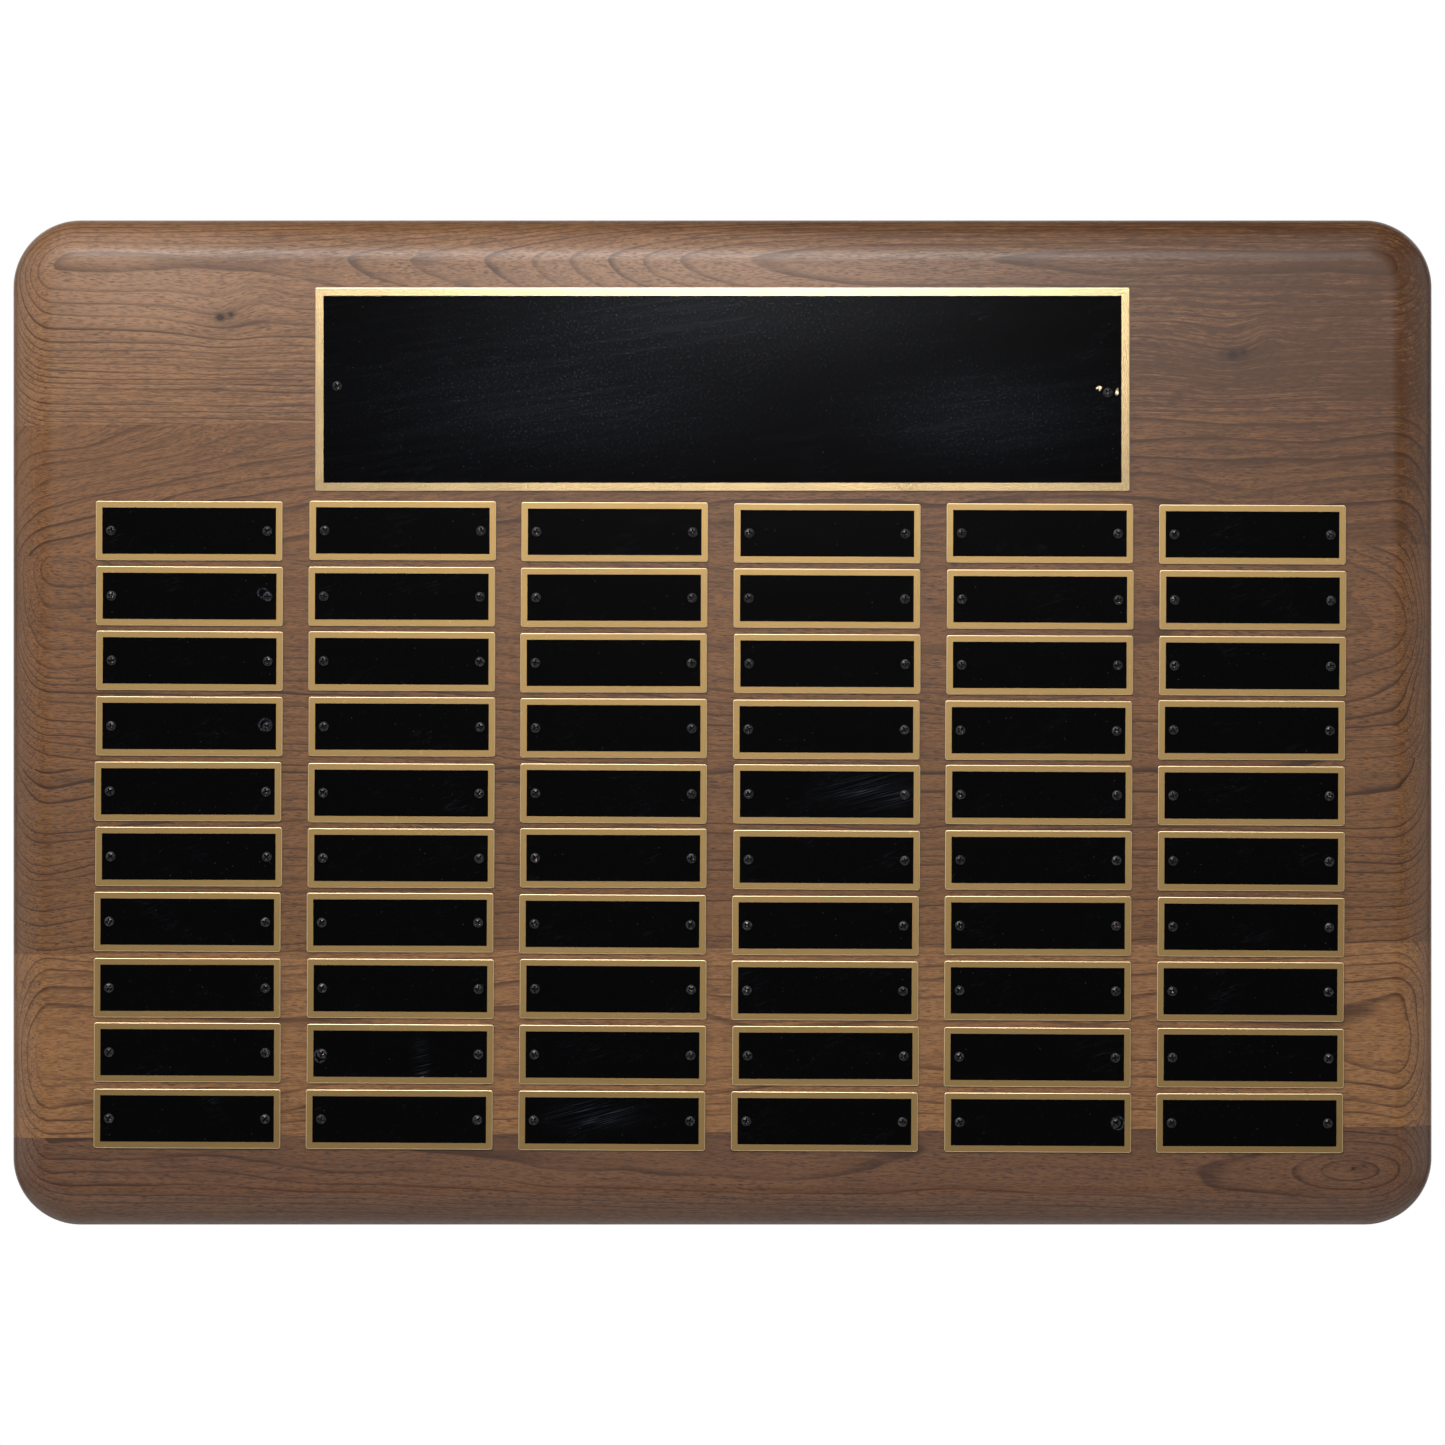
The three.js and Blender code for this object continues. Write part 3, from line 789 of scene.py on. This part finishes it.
@dataclass
class Board:
    """The edge-glued board: one rounded slab that five glue lines part into six staves."""

    corner_radius: float = 25.4 * MM
    face_round: float = 15.9 * MM
    back_round: float = 3.0 * MM
    corner_steps: int = 28
    face_steps: int = 20
    back_steps: int = 6
    shading_margin: float = 1.0 * MM  # how far inside its rounded rim a flat begins, so that it shades flat
    stave_names: tuple[str, ...] = tuple(f"stave_{number}" for number in range(1, 7))
    finishes: tuple[Walnut, ...] = (
        Walnut(
            name="walnut_fine_rings",
            heart_left=173.0,
            heart_right=174.0,
            depth=33.0,
            ring=1.85,
            seed=3.1,
            light=(0.264, 0.131, 0.059),
            dark=(0.085, 0.036, 0.016),
            wander=1.5,
            sweep=9.5,
            sweep_at=-58.0,
            sweep_length=72.0,
            line=0.8,
            even=0.5,
            painted_shade_right=0.85,
            pores=0.65,
            knots=(
                Knot(-188.0, 151.6),
                Knot(191.0, 137.5, pull=-4.2, hump=2.6, reach_x=19.0, reach_z=16.0, eye=1.8),
            ),
            # partly painted sheen, partly paler wood: below the top highlight, and at its left end
            pale=(Spot(-15.0, 169.0, 120.0, 13.0), Spot(-215.0, 165.0, 45.0, 22.0)),
        ),
        Walnut(
            name="walnut_soft_rings",
            heart_left=18.0,
            heart_right=28.0,
            depth=62.0,
            ring=4.6,
            seed=11.7,
            light=(0.205, 0.093, 0.037),
            dark=(0.080, 0.034, 0.015),
            line=0.9,
            painted_shade_right=0.6,
            bend=12.0,
            bend_at=-215.0,
            bend_length=55.0,
            wander=9.0,
            pores=0.7,
        ),
        Walnut(
            name="walnut_nested_rings",
            heart_left=57.0,
            heart_right=33.0,
            depth=80.0,
            ring=1.75,
            seed=27.3,
            light=(0.192, 0.087, 0.035),
            line=1.25,
            painted_shade_right=0.15,
            flare_right=-5.0,
            wander=5.0,
            pores=0.85,
            knots=(Knot(-243.0, 58.0, pull=0.0, hump=0.0, reach_z=7.0, eye=0.0, pit=4.0),),
        ),
        Walnut(
            name="walnut_fanned_rings",
            heart_left=6.0,
            heart_right=6.0,
            depth=58.0,
            ring=2.3,
            seed=41.9,
            light=(0.179, 0.083, 0.034),
            line=1.25,
            wander=6.5,
            flare_left=6.0,
            pores=0.85,
        ),
        Walnut(
            name="walnut_pale",
            heart_left=-122.0,
            heart_right=-117.5,
            depth=62.0,
            ring=1.9,
            seed=58.6,
            light=(0.260, 0.126, 0.052),
            line=0.6,
            wander=4.0,
            flare_left=3.0,
            flare_right=2.0,
            pores=0.7,
        ),
        Walnut(
            name="walnut_dark",
            heart_left=-151.0,
            heart_right=-167.5,
            depth=40.0,
            ring=2.0,
            seed=73.2,
            light=(0.144, 0.069, 0.036),
            dark=(0.058, 0.028, 0.019),
            line=0.7,
            wander=3.5,
            knots=(Knot(236.0, -167.0, pull=0.0, hump=0.0, reach_x=22.0, reach_z=9.0, eye=0.6, pit=5.0),),
        ),
    )

    def profile(self, thickness: float) -> np.ndarray:
        """The board's edge in section: flat face, quarter-circle round, wall, eased back and flat back.

        Args:
            thickness: from face to back.

        Returns:
            (inset, y) pairs, from the face to the back.
        """
        over = np.linspace(0.0, math.pi / 2, self.face_steps + 1)
        ease = np.linspace(0.0, math.pi / 2, self.back_steps + 1)
        face = self.face_round * np.stack([1 - np.sin(over), 1 - np.cos(over)], axis=1) - [0.0, thickness]
        back = self.back_round * np.stack([1 - np.cos(ease), np.sin(ease) - 1], axis=1)
        front_rim = [(self.face_round + self.shading_margin, -thickness)]
        back_rim = [(self.back_round + self.shading_margin, 0.0)]
        return np.concatenate([front_rim, face, back, back_rim])

    def glue_lines(self) -> list[tuple[float, float]]:
        """The height of each glue line at the board's left and right end, from the staves' own corners."""
        reach = 0.5 * MM
        ends = []
        for name in self.stave_names:
            corners = np.array([v.co for v in frame["nodes"][name].data.vertices])
            left = corners[corners[:, 0] < corners[:, 0].min() + reach][:, 2]
            right = corners[corners[:, 0] > corners[:, 0].max() - reach][:, 2]
            ends.append((left.min(), left.max(), right.min(), right.max()))
        return [((a[0] + b[1]) / 2, (a[2] + b[3]) / 2) for a, b in zip(ends, ends[1:])]

    def cut(self, body: bmesh.types.BMesh, line: tuple[float, float], upwards: bool) -> None:
        """Cuts a body along a glue line and closes the cut.

        Args:
            body: the body to cut.
            line: the line's height at the board's left and right end.
            upwards: whether what lies above the line is taken away.
        """
        left = Vector((CAD_LOW.x, 0.0, line[0]))
        right = Vector((CAD_HIGH.x, 0.0, line[1]))
        along = (right - left).normalized()
        normal = Vector((0.0, 1.0, 0.0)).cross(along) * (-1.0 if upwards else 1.0)
        everything = body.verts[:] + body.edges[:] + body.faces[:]
        plane = {"plane_co": left, "plane_no": normal}
        cut = bmesh.ops.bisect_plane(body, geom=everything, clear_outer=True, **plane)
        rim = [part for part in cut["geom_cut"] if isinstance(part, bmesh.types.BMEdge)]
        bmesh.ops.holes_fill(body, edges=rim, sides=0)

    def build(self) -> list[bpy.types.Object]:
        """Makes the six staves.

        Returns:
            The staves, from the top down.
        """
        top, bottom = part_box(self.stave_names[0])[1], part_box(self.stave_names[-1])[0]
        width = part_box(self.stave_names[2])
        outline = (width[1].x - width[0].x, top.z - bottom.z, self.corner_radius)
        rings = stack_rings(outline, self.profile(-width[0].y), self.corner_steps)
        faces = ring_faces(*rings.shape[:2])
        slab = mesh_of("slab", rings, faces)
        lines = self.glue_lines()
        staves = []
        for index, (name, finish) in enumerate(zip(self.stave_names, self.finishes)):
            body = bmesh.new()
            body.from_mesh(slab)
            if index > 0:
                self.cut(body, lines[index - 1], upwards=True)
            if index < len(lines):
                self.cut(body, lines[index], upwards=False)
            mesh = bpy.data.meshes.new(f"walnut_{name}")
            body.to_mesh(mesh)
            body.free()
            smooth_mesh(mesh)
            slot = frame_slot(name)
            staves.append(piece_of(mesh, [finish.material()], slot, (name,)))
        bpy.data.meshes.remove(slab)
        return staves


def frame_slot(node: str) -> str:
    """The record's material slot of a CAD node."""
    return next(part["material_slot"] for part in frame["record"]["subparts"] if part["node"] == node)


# ---- Plates ----------------------------------------------------------------------------------------------


@dataclass
class PlatePose:
    """Where one plate lies: its middle on the board, its back's depth, and its turn in radians."""

    x: float
    back: float
    z: float
    turn: float

    @classmethod
    def of(cls, points: np.ndarray) -> "PlatePose":
        """Reads the pose from a flat plate's vertices, by the four points furthest out at its corners.

        Args:
            points: the plate's (x, y, z) vertices.

        Returns:
            The pose.
        """
        across, up = points[:, 0], points[:, 2]
        ways = ((-1, 1), (1, 1), (-1, -1), (1, -1))
        corners = [points[np.argmax(way[0] * across + way[1] * up)] for way in ways]
        middle = np.mean(corners, axis=0)
        rise = (corners[1] - corners[0]) + (corners[3] - corners[2])
        return cls(middle[0], points[:, 1].max(), middle[2], -math.atan2(rise[2], rise[0]))


class PlateFace(IntEnum):
    """The number of the material that a plate's face shows."""

    BRASS = 0
    LACQUER = 1
    RIM = 2


@dataclass
class Plate:
    """A brass plate with a bevelled rim, a bare border and a raised film of black lacquer within it."""

    width: float
    height: float
    border: float
    thickness: float = 0.8 * MM
    corner_radius: float = 0.9 * MM
    bevel: float = 0.22 * MM
    film: float = 0.02 * MM
    corner_steps: int = 5

    def mesh(self, name: str, pose: PlatePose) -> bpy.types.Mesh:
        """The plate in place: rings from the lacquer out over the border and the bevel to the back.

        Args:
            name: the mesh's name.
            pose: where the plate lies.

        Returns:
            A mesh whose faces number their materials as PlateFace does.
        """
        front = -self.thickness
        profile = np.array(
            [
                (self.border + self.film, front - self.film),
                (self.border, front),
                (self.bevel + self.film, front),
                (self.bevel, front),
                (0.35 * self.bevel, front + 0.3 * self.bevel),
                (0.0, front + self.bevel),
                (0.0, 0.0),
            ]
        )
        rings = stack_rings((self.width, self.height, self.corner_radius), profile, self.corner_steps)
        points = turn_and_place(rings, pose.turn, (pose.x, pose.back, pose.z))
        mesh = mesh_of(name, points, ring_faces(*rings.shape[:2]), 30.0)
        around = rings.shape[1]
        number = np.full(len(mesh.polygons), PlateFace.BRASS, np.int32)
        number[:around] = PlateFace.LACQUER  # the film's edge
        number[-2] = PlateFace.LACQUER  # and its flat, the first cap
        number[3 * around : 5 * around] = PlateFace.RIM  # the bevel's two flats
        mesh.polygons.foreach_set("material_index", number)
        return mesh


@dataclass
class NamePlates:
    """The grid of name plates. The frame joins some in pairs; here each is a piece of its own."""

    plate: Plate = field(default_factory=lambda: Plate(69.85 * MM, 22.2 * MM, 2.42 * MM))
    brass: BareBrass = BareBrass("brass_satin", (0.348, 0.225, 0.089), roughness=0.38, lines=0.002)
    # painted highlight: the bevel takes a much brighter copy of the same brass, so that the plates' edges
    # show as bright lines
    rim: BareBrass = BareBrass("brass_satin_rim_painted_highlight", (0.92, 0.76, 0.47), roughness=0.45, lines=0.001)
    lacquer: BlackLacquer = BlackLacquer(
        "lacquer_name_plates",
        roughness=0.12,
        smear=0.0,
        chips=(Spot(-113.0, -133.6, 2.0, 1.6),),
        scuffs=(
            Spot(-171.9, 48.4, 1.9, 1.7),
            Spot(-171.1, -0.9, 2.3, 2.2),
            Spot(147.9, -149.9, 2.3, 2.3),
            Spot(-150.6, -124.7, 2.0, 2.3),
        ),
        scratches=(
            Spot(-48.0, -147.0, 12.0, 4.5),
            Spot(56.0, -26.0, 14.0, 5.0),
            Spot(-112.5, -128.0, 2.5, 7.0),
        ),
    )
    poses: dict[tuple[int, int], PlatePose] = field(default_factory=dict)
    past_the_foot: float = 1.0001  # a node is shared out a little beyond its lowest points

    def build(self) -> list[bpy.types.Object]:
        """Makes every name plate and keeps its pose by its row and column.

        Returns:
            The plates.
        """
        materials = [finish.material() for finish in (self.brass, self.lacquer, self.rim)]
        pieces = []
        for node in sorted(name for name in frame["nodes"] if name.startswith("name_plate")):
            points = np.array([v.co for v in frame["nodes"][node].data.vertices])
            rows = [int(word[1:]) for word in node.split("_") if word[0] == "r" and word[1:].isdigit()]
            column = int(node.rsplit("_c", 1)[1])
            fall = points[:, 2].max() - points[:, 2]
            step = fall.max() / len(rows) * self.past_the_foot
            for order, row in enumerate(rows):
                pose = PlatePose.of(points[np.floor(fall / step) == order])
                self.poses[row, column] = pose
                mesh = self.plate.mesh(f"plate_r{row:02d}_c{column}", pose)
                pieces.append(piece_of(mesh, materials, frame_slot(node), (node,)))
        return pieces


@dataclass
class HeaderPlate:
    """The wide plate over the grid, brighter and smoother than the name plates."""

    plate: Plate = field(
        default_factory=lambda: Plate(
            width=304.8 * MM,
            height=76.2 * MM,
            border=3.1 * MM,
            corner_radius=0.6 * MM,
            bevel=0.3 * MM,
        )
    )
    brass: BareBrass = BareBrass(
        "brass_bright", (0.62, 0.45, 0.235), roughness=0.23, lines=0.0, streaks=0.15
    )
    # painted highlight: the bevel takes a much brighter copy of the brass, so that the plate's edge shows as
    # a bright line
    rim: BareBrass = BareBrass("brass_bright_rim_painted_highlight", (0.92, 0.76, 0.47), roughness=0.40, lines=0.001)
    lacquer: BlackLacquer = BlackLacquer(
        "lacquer_header",
        roughness=0.10,
        smear=0.03,
        veils=(
            Spot(-12.0, 152.0, 75.0, 17.0),
            Spot(-60.0, 120.0, 60.0, 20.0),
            Spot(95.0, 115.0, 40.0, 16.0),
        ),
        chips=(Spot(141.0, 125.2, 1.7, 1.2), Spot(147.6, 123.6, 1.0, 1.8)),
    )
    node: str = "header_plate"

    def build(self) -> bpy.types.Object:
        """Makes the header plate.

        Returns:
            The plate.
        """
        points = np.array([v.co for v in frame["nodes"][self.node].data.vertices])
        mesh = self.plate.mesh("plate_header", PlatePose.of(points))
        materials = [finish.material() for finish in (self.brass, self.lacquer, self.rim)]
        return piece_of(mesh, materials, frame_slot(self.node), (self.node,))


# ---- Screws ----------------------------------------------------------------------------------------------


class ScrewFace(IntEnum):
    """The number of the material that a screw's face shows."""

    HEAD = 0
    RECESS = 1
    RIM = 2


@dataclass
class PlateScrews:
    """Small domed screws with a cross recess, in every plate."""

    head_radius: float = 1.86 * MM
    head_height: float = 1.05 * MM
    rim_height: float = 0.34 * MM
    arm_length: float = 1.28 * MM  # of the recess, from the middle to an arm's end
    arm_width: float = 0.72 * MM
    recess_depth: float = 0.75 * MM
    inset: float = 5.7 * MM  # a screw's axis to the end of its name plate
    shank: float = 2.0 * MM  # as much of the shank as is modelled, below the head
    shank_radius: float = 1.0 * MM
    sharp: float = 50.0

    def ring_angles(self) -> np.ndarray:
        """Twenty angles round the head that include every corner of the cross."""
        tip = math.atan2(self.arm_width / 2, self.arm_length)
        corner = math.pi / 4
        quarter = np.array([-tip, tip, (tip + corner) / 2, corner, math.pi / 2 - (tip + corner) / 2])
        return (np.arange(4)[:, None] * math.pi / 2 + quarter).ravel()

    def cross_radius(self, angle: np.ndarray) -> np.ndarray:
        """How far the cross reaches at each angle: the nearer of an arm's end and an arm's side."""
        folded = np.abs((angle + math.pi / 4) % (math.pi / 2) - math.pi / 4)
        end = self.arm_length / np.cos(folded)
        side = self.arm_width / 2 / np.maximum(np.sin(folded), 1e-6)
        return np.minimum(end, side)

    def dome(self, radius: np.ndarray) -> np.ndarray:
        """The head's height at each radius: a shallow ellipse that stands on a short rim."""
        share = np.clip(radius / self.head_radius, 0.0, 1.0)
        return self.rim_height + (self.head_height - self.rim_height) * np.sqrt(1.0 - 0.92 * share**2.4)

    def head(self) -> np.ndarray:
        """The screw as closed rings about the Y axis, from the recess's floor out to the shank's end.

        Returns:
            An array of (x, y, z) rings whose middle is at the origin and whose head stands towards -Y.
        """
        angle = self.ring_angles()
        cross = self.cross_radius(angle)
        full = np.full_like(angle, self.head_radius)
        half = (cross + full) / 2
        floor = self.dome(np.zeros(1))[0] - self.recess_depth
        rows = [
            (cross * 0.30, np.full_like(angle, floor - 0.1 * MM)),  # the recess's deepest middle
            (cross * 0.80, np.full_like(angle, floor)),  # its floor's edge
            (cross, self.dome(cross)),  # its mouth
            (half, self.dome(half)),
            (full * 0.93, self.dome(full * 0.93)),  # where the shoulder begins
            (full, np.full_like(angle, self.rim_height * 0.8)),
            (full, np.zeros_like(angle)),  # the head's seat
            (np.full_like(angle, self.shank_radius), np.zeros_like(angle)),
            (np.full_like(angle, 0.8 * self.shank_radius), np.full_like(angle, -self.shank)),
        ]
        return np.array(
            [np.stack([r * np.cos(angle), -height, r * np.sin(angle)], axis=1) for r, height in rows]
        )

    def mesh(self, name: str, places: list[tuple[float, float, float]], seed: int) -> bpy.types.Mesh:
        """Several screws in one mesh, each driven to an angle of its own.

        Args:
            name: the mesh's name.
            places: where each head meets its plate.
            seed: what the angles are drawn from.

        Returns:
            A mesh whose faces number their materials as ScrewFace does.
        """
        turns = np.random.default_rng(seed).uniform(0.0, math.pi / 2, len(places))
        head = self.head()
        faces = ring_faces(*head.shape[:2])
        count = head.shape[0] * head.shape[1]
        points = np.array([turn_and_place(head, turn, place) for turn, place in zip(turns, places)])
        starts = range(0, count * len(places), count)
        every = [[corner + start for corner in face] for start in starts for face in faces]
        mesh = mesh_of(name, points, every, self.sharp)
        around = head.shape[1]
        number = np.full(len(faces), ScrewFace.HEAD, np.int32)
        number[: 2 * around] = ScrewFace.RECESS  # the recess's floor and walls
        number[-2] = ScrewFace.RECESS  # and its middle, the first cap
        number[4 * around : 6 * around] = ScrewFace.RIM  # the head's shoulder and side
        mesh.polygons.foreach_set("material_index", np.tile(number, len(places)))
        return mesh

    def build(self, names: NamePlates) -> list[bpy.types.Object]:
        """Makes the header plate's two screws, and one piece for the screws of each row of name plates.

        Args:
            names: the name plates, with their poses.

        Returns:
            The pieces.
        """
        materials = [
            BlackOxide("black_oxide", (0.026, 0.026, 0.029), (0.105, 0.102, 0.105)).material(),
            WornRecess("worn_recess").material(),
            # partly painted highlight, partly wear: a lighter copy of the black oxide on the head's shoulder
            # and side stands for the light ring round each head
            BlackOxide("rubbed_and_highlit_rim", (0.040, 0.040, 0.043), (0.17, 0.165, 0.17)).material(),
        ]
        pieces = []
        for seed, side in enumerate(("left", "right")):
            node = f"header_screw_{side}"
            low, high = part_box(node)
            middle = (low + high) / 2
            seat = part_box("header_plate")[0].y
            mesh = self.mesh(f"plate_screw_header_{side}", [(middle.x, seat, middle.z)], seed)
            pieces.append(piece_of(mesh, materials, frame_slot(node), (node,)))
        reach = names.plate.width / 2 - self.inset
        for row in sorted({row for row, _ in names.poses}):
            places = []
            for column in sorted(number for line, number in names.poses if line == row):
                pose = names.poses[row, column]
                for side in (-reach, reach):
                    x = pose.x + side * math.cos(pose.turn)
                    z = pose.z - side * math.sin(pose.turn)
                    places.append((x, pose.back - names.plate.thickness, z))
            mesh = self.mesh(f"plate_screws_r{row:02d}", places, 10 + row)
            pieces.append(piece_of(mesh, materials, frame_slot("header_screw_left")))
        return pieces


# ---- Hangers ---------------------------------------------------------------------------------------------


@dataclass
class Hangers:
    """The two keyhole hangers and their screws, as the frame has them, and their recesses in the board."""

    mortise_clearance: float = 0.3 * MM
    seat: float = 0.05 * MM
    pocket_width: float = 12.7 * MM
    pocket_depth: float = 7.0 * MM
    entry_drop: float = 5.0 * MM
    slot_rise: float = 8.0 * MM
    past: float = 1.0 * MM  # how far a cutter runs out of the board's back
    end_steps: int = 12

    def stadium(
        self,
        name: str,
        width: float,
        low: float,
        high: float,
        depth: float,
        x: float,
    ) -> bpy.types.Object:
        """A cutter with round ends.

        Args:
            name: its name.
            width: its width along X.
            low: the lower end's centre.
            high: the upper end's centre.
            depth: how deep it cuts from the board's back.
            x: its centre line.

        Returns:
            The cutter.
        """
        outline = (width, high - low + width, width / 2)
        profile = np.array([(0.0, -depth), (0.0, self.past)])
        rings = stack_rings(outline, profile, self.end_steps)
        rings = turn_and_place(rings, 0.0, (x, 0.0, (low + high) / 2))
        cutter = bpy.data.objects.new(name, mesh_of(name, rings, ring_faces(*rings.shape[:2])))
        bpy.context.scene.collection.objects.link(cutter)
        return cutter

    def let_into(self, stave: bpy.types.Object) -> None:
        """Cuts both hangers' mortises and pockets into the stave that holds them.

        Args:
            stave: the stave's object, which has no modifiers.
        """
        cutters = []
        for side in ("left", "right"):
            low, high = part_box(f"hanger_{side}")
            x, z = (low.x + high.x) / 2, (low.z + high.z) / 2
            width = high.x - low.x
            reach = (high.z - low.z - width) / 2
            depth = high.y - low.y + self.seat
            wide = width + 2 * self.mortise_clearance
            cutters.append(self.stadium(f"mortise_{side}", wide, z - reach, z + reach, depth, x))
            low_end, high_end = z - self.entry_drop, z + self.slot_rise
            pocket = (self.pocket_width, low_end, high_end, self.pocket_depth, x)
            cutters.append(self.stadium(f"pocket_{side}", *pocket))
        for cutter in cutters:
            modifier = stave.modifiers.new(cutter.name, "BOOLEAN")
            modifier.operation = "DIFFERENCE"
            modifier.solver = "EXACT"
            modifier.object = cutter
        bpy.context.view_layer.update()
        evaluated = stave.evaluated_get(bpy.context.evaluated_depsgraph_get())
        cut = bpy.data.meshes.new_from_object(evaluated)
        stave.modifiers.clear()
        old = stave.data
        stave.data = cut
        bpy.data.meshes.remove(old)
        cut.name = stave.name
        for cutter in cutters:
            bpy.data.meshes.remove(cutter.data)
        smooth_mesh(cut)

    def dress(self) -> list[bpy.types.Object]:
        """Gives the frame's own hangers and hanger screws their plating.

        Returns:
            The nodes that were dressed.
        """
        zinc = ZincPlate("zinc_plate").material()
        nodes = [frame["nodes"][name] for name in sorted(frame["nodes"]) if name.startswith("hanger")]
        for node in nodes:
            node.data.materials.clear()
            node.data.materials.append(zinc)
        return nodes


# ---- Studio ----------------------------------------------------------------------------------------------


class Aim(Enum):
    """What a softbox lights."""

    FACE = (0.0, -0.02, 0.0)
    TOP = (0.0, -0.02, 0.12)


@dataclass(frozen=True)
class Softbox:
    """A rectangular soft light."""

    name: str
    place: tuple[float, float, float]
    size: tuple[float, float]
    power: float
    aim: Aim = Aim.FACE

    def build(self) -> bpy.types.Object:
        """Hangs the light, turned to its aim and hidden from the camera."""
        data = bpy.data.lights.new(self.name, "AREA")
        data.shape = "RECTANGLE"
        data.size, data.size_y = self.size
        data.energy = self.power
        light = bpy.data.objects.new(self.name, data)
        light.location = self.place
        towards = Vector(self.aim.value) - Vector(self.place)
        light.rotation_mode = "QUATERNION"
        light.rotation_quaternion = towards.to_track_quat("-Z", "Y")
        light.visible_camera = False
        bpy.context.scene.collection.objects.link(light)
        return light


@dataclass
class Studio:
    """The camera, the lights and a plain pale floor."""

    distance: float = 3.0  # from the camera to the board's outline
    sensor: float = 36.0
    fill: float = 0.98  # the share of the picture's width that the board takes
    floor_drop: float = 1.0  # the floor below the board's middle
    floor_size: float = 3.2
    ambient: float = 0.05
    softboxes: tuple[Softbox, ...] = (
        Softbox("brow", (0.02, -2.0, 0.74), (0.32, 0.54), 15.0),
        Softbox("glow", (0.03, -2.0, 0.425), (0.20, 0.12), 2.2),
        Softbox("brow_left", (-0.34, -2.0, 1.16), (0.40, 0.36), 14.0),
        Softbox("key", (-1.1, -1.7, 1.25), (1.0, 1.0), 10.0),
        Softbox("ceiling", (-0.4, -1.1, 2.2), (3.0, 2.0), 28.0, Aim.TOP),
        Softbox("left", (-2.2, -0.3, 0.2), (3.4, 2.6), 22.0),
        Softbox("right", (2.2, -0.3, 0.2), (3.4, 2.6), 20.0),
        Softbox("backdrop", (0.0, 2.4, 0.3), (3.4, 2.6), 26.0),
    )

    def place_camera(self) -> None:
        """Looks along +Y at the board's middle, at the focal length that makes it fill the picture."""
        data = bpy.data.cameras.new("camera")
        data.sensor_width = self.sensor
        width = CAD_HIGH.x - CAD_LOW.x
        data.lens = self.sensor * self.distance / (width / self.fill)
        data.clip_start, data.clip_end = 0.1, 50.0
        camera = bpy.data.objects.new("camera", data)
        camera.location = (0.0, -self.distance - Board.back_round, 0.0)
        camera.rotation_euler = (math.pi / 2, 0.0, 0.0)
        bpy.context.scene.collection.objects.link(camera)
        bpy.context.scene.camera = camera

    def light(self) -> None:
        """Hangs the softboxes in a dim white room, which the camera sees as plain white."""
        for softbox in self.softboxes:
            softbox.build()
        world = bpy.data.worlds.new("white_room")
        shade = Shade(world)
        white = (1.0, 1.0, 1.0, 1.0)
        dim = shade.node("ShaderNodeBackground", None, {"Color": white, "Strength": self.ambient})
        plain = shade.node("ShaderNodeBackground", None, {"Color": white, "Strength": 1.0})
        seen = shade.node("ShaderNodeLightPath").outputs["Is Camera Ray"]
        either = shade.node("ShaderNodeMixShader", None, {0: seen, 1: dim.outputs[0], 2: plain.outputs[0]})
        shade.node("ShaderNodeOutputWorld", None, {"Surface": either.outputs[0]})
        bpy.context.scene.world = world
        bpy.context.scene.view_settings.view_transform = "Standard"

    def lay_floor(self) -> bpy.types.Object:
        """Lays the floor, which isn't part of the plaque.

        Returns:
            The floor.
        """
        half = self.floor_size / 2
        corners = np.array([(-half, -half), (half, -half), (half, half), (-half, half)])
        points = np.column_stack([corners, np.full(4, -self.floor_drop)])
        floor = bpy.data.objects.new("floor", mesh_of("floor", points, [[0, 1, 2, 3]]))
        floor.data.materials.append(PaleFloor().material())
        bpy.context.scene.collection.objects.link(floor)
        return floor


# ---- Assembly --------------------------------------------------------------------------------------------


def report(pieces: list[bpy.types.Object]) -> None:
    """Logs each piece's name and how many faces it has."""
    for piece in pieces:
        LOG.info("%s: %d faces", piece.name, len(piece.data.polygons))


def main() -> None:
    """Builds the studio and then the plaque, from the board outwards."""
    logging.basicConfig(level=logging.INFO, format="%(name)s: %(message)s")
    studio = Studio()
    studio.place_camera()
    studio.light()
    studio.lay_floor()
    staves = Board().build()
    hangers = Hangers()
    hangers.let_into(staves[0])
    report(staves)
    report(hangers.dress())
    report([HeaderPlate().build()])
    names = NamePlates()
    report(names.build())
    report(PlateScrews().build(names))


if __name__ == "__main__":
    main()
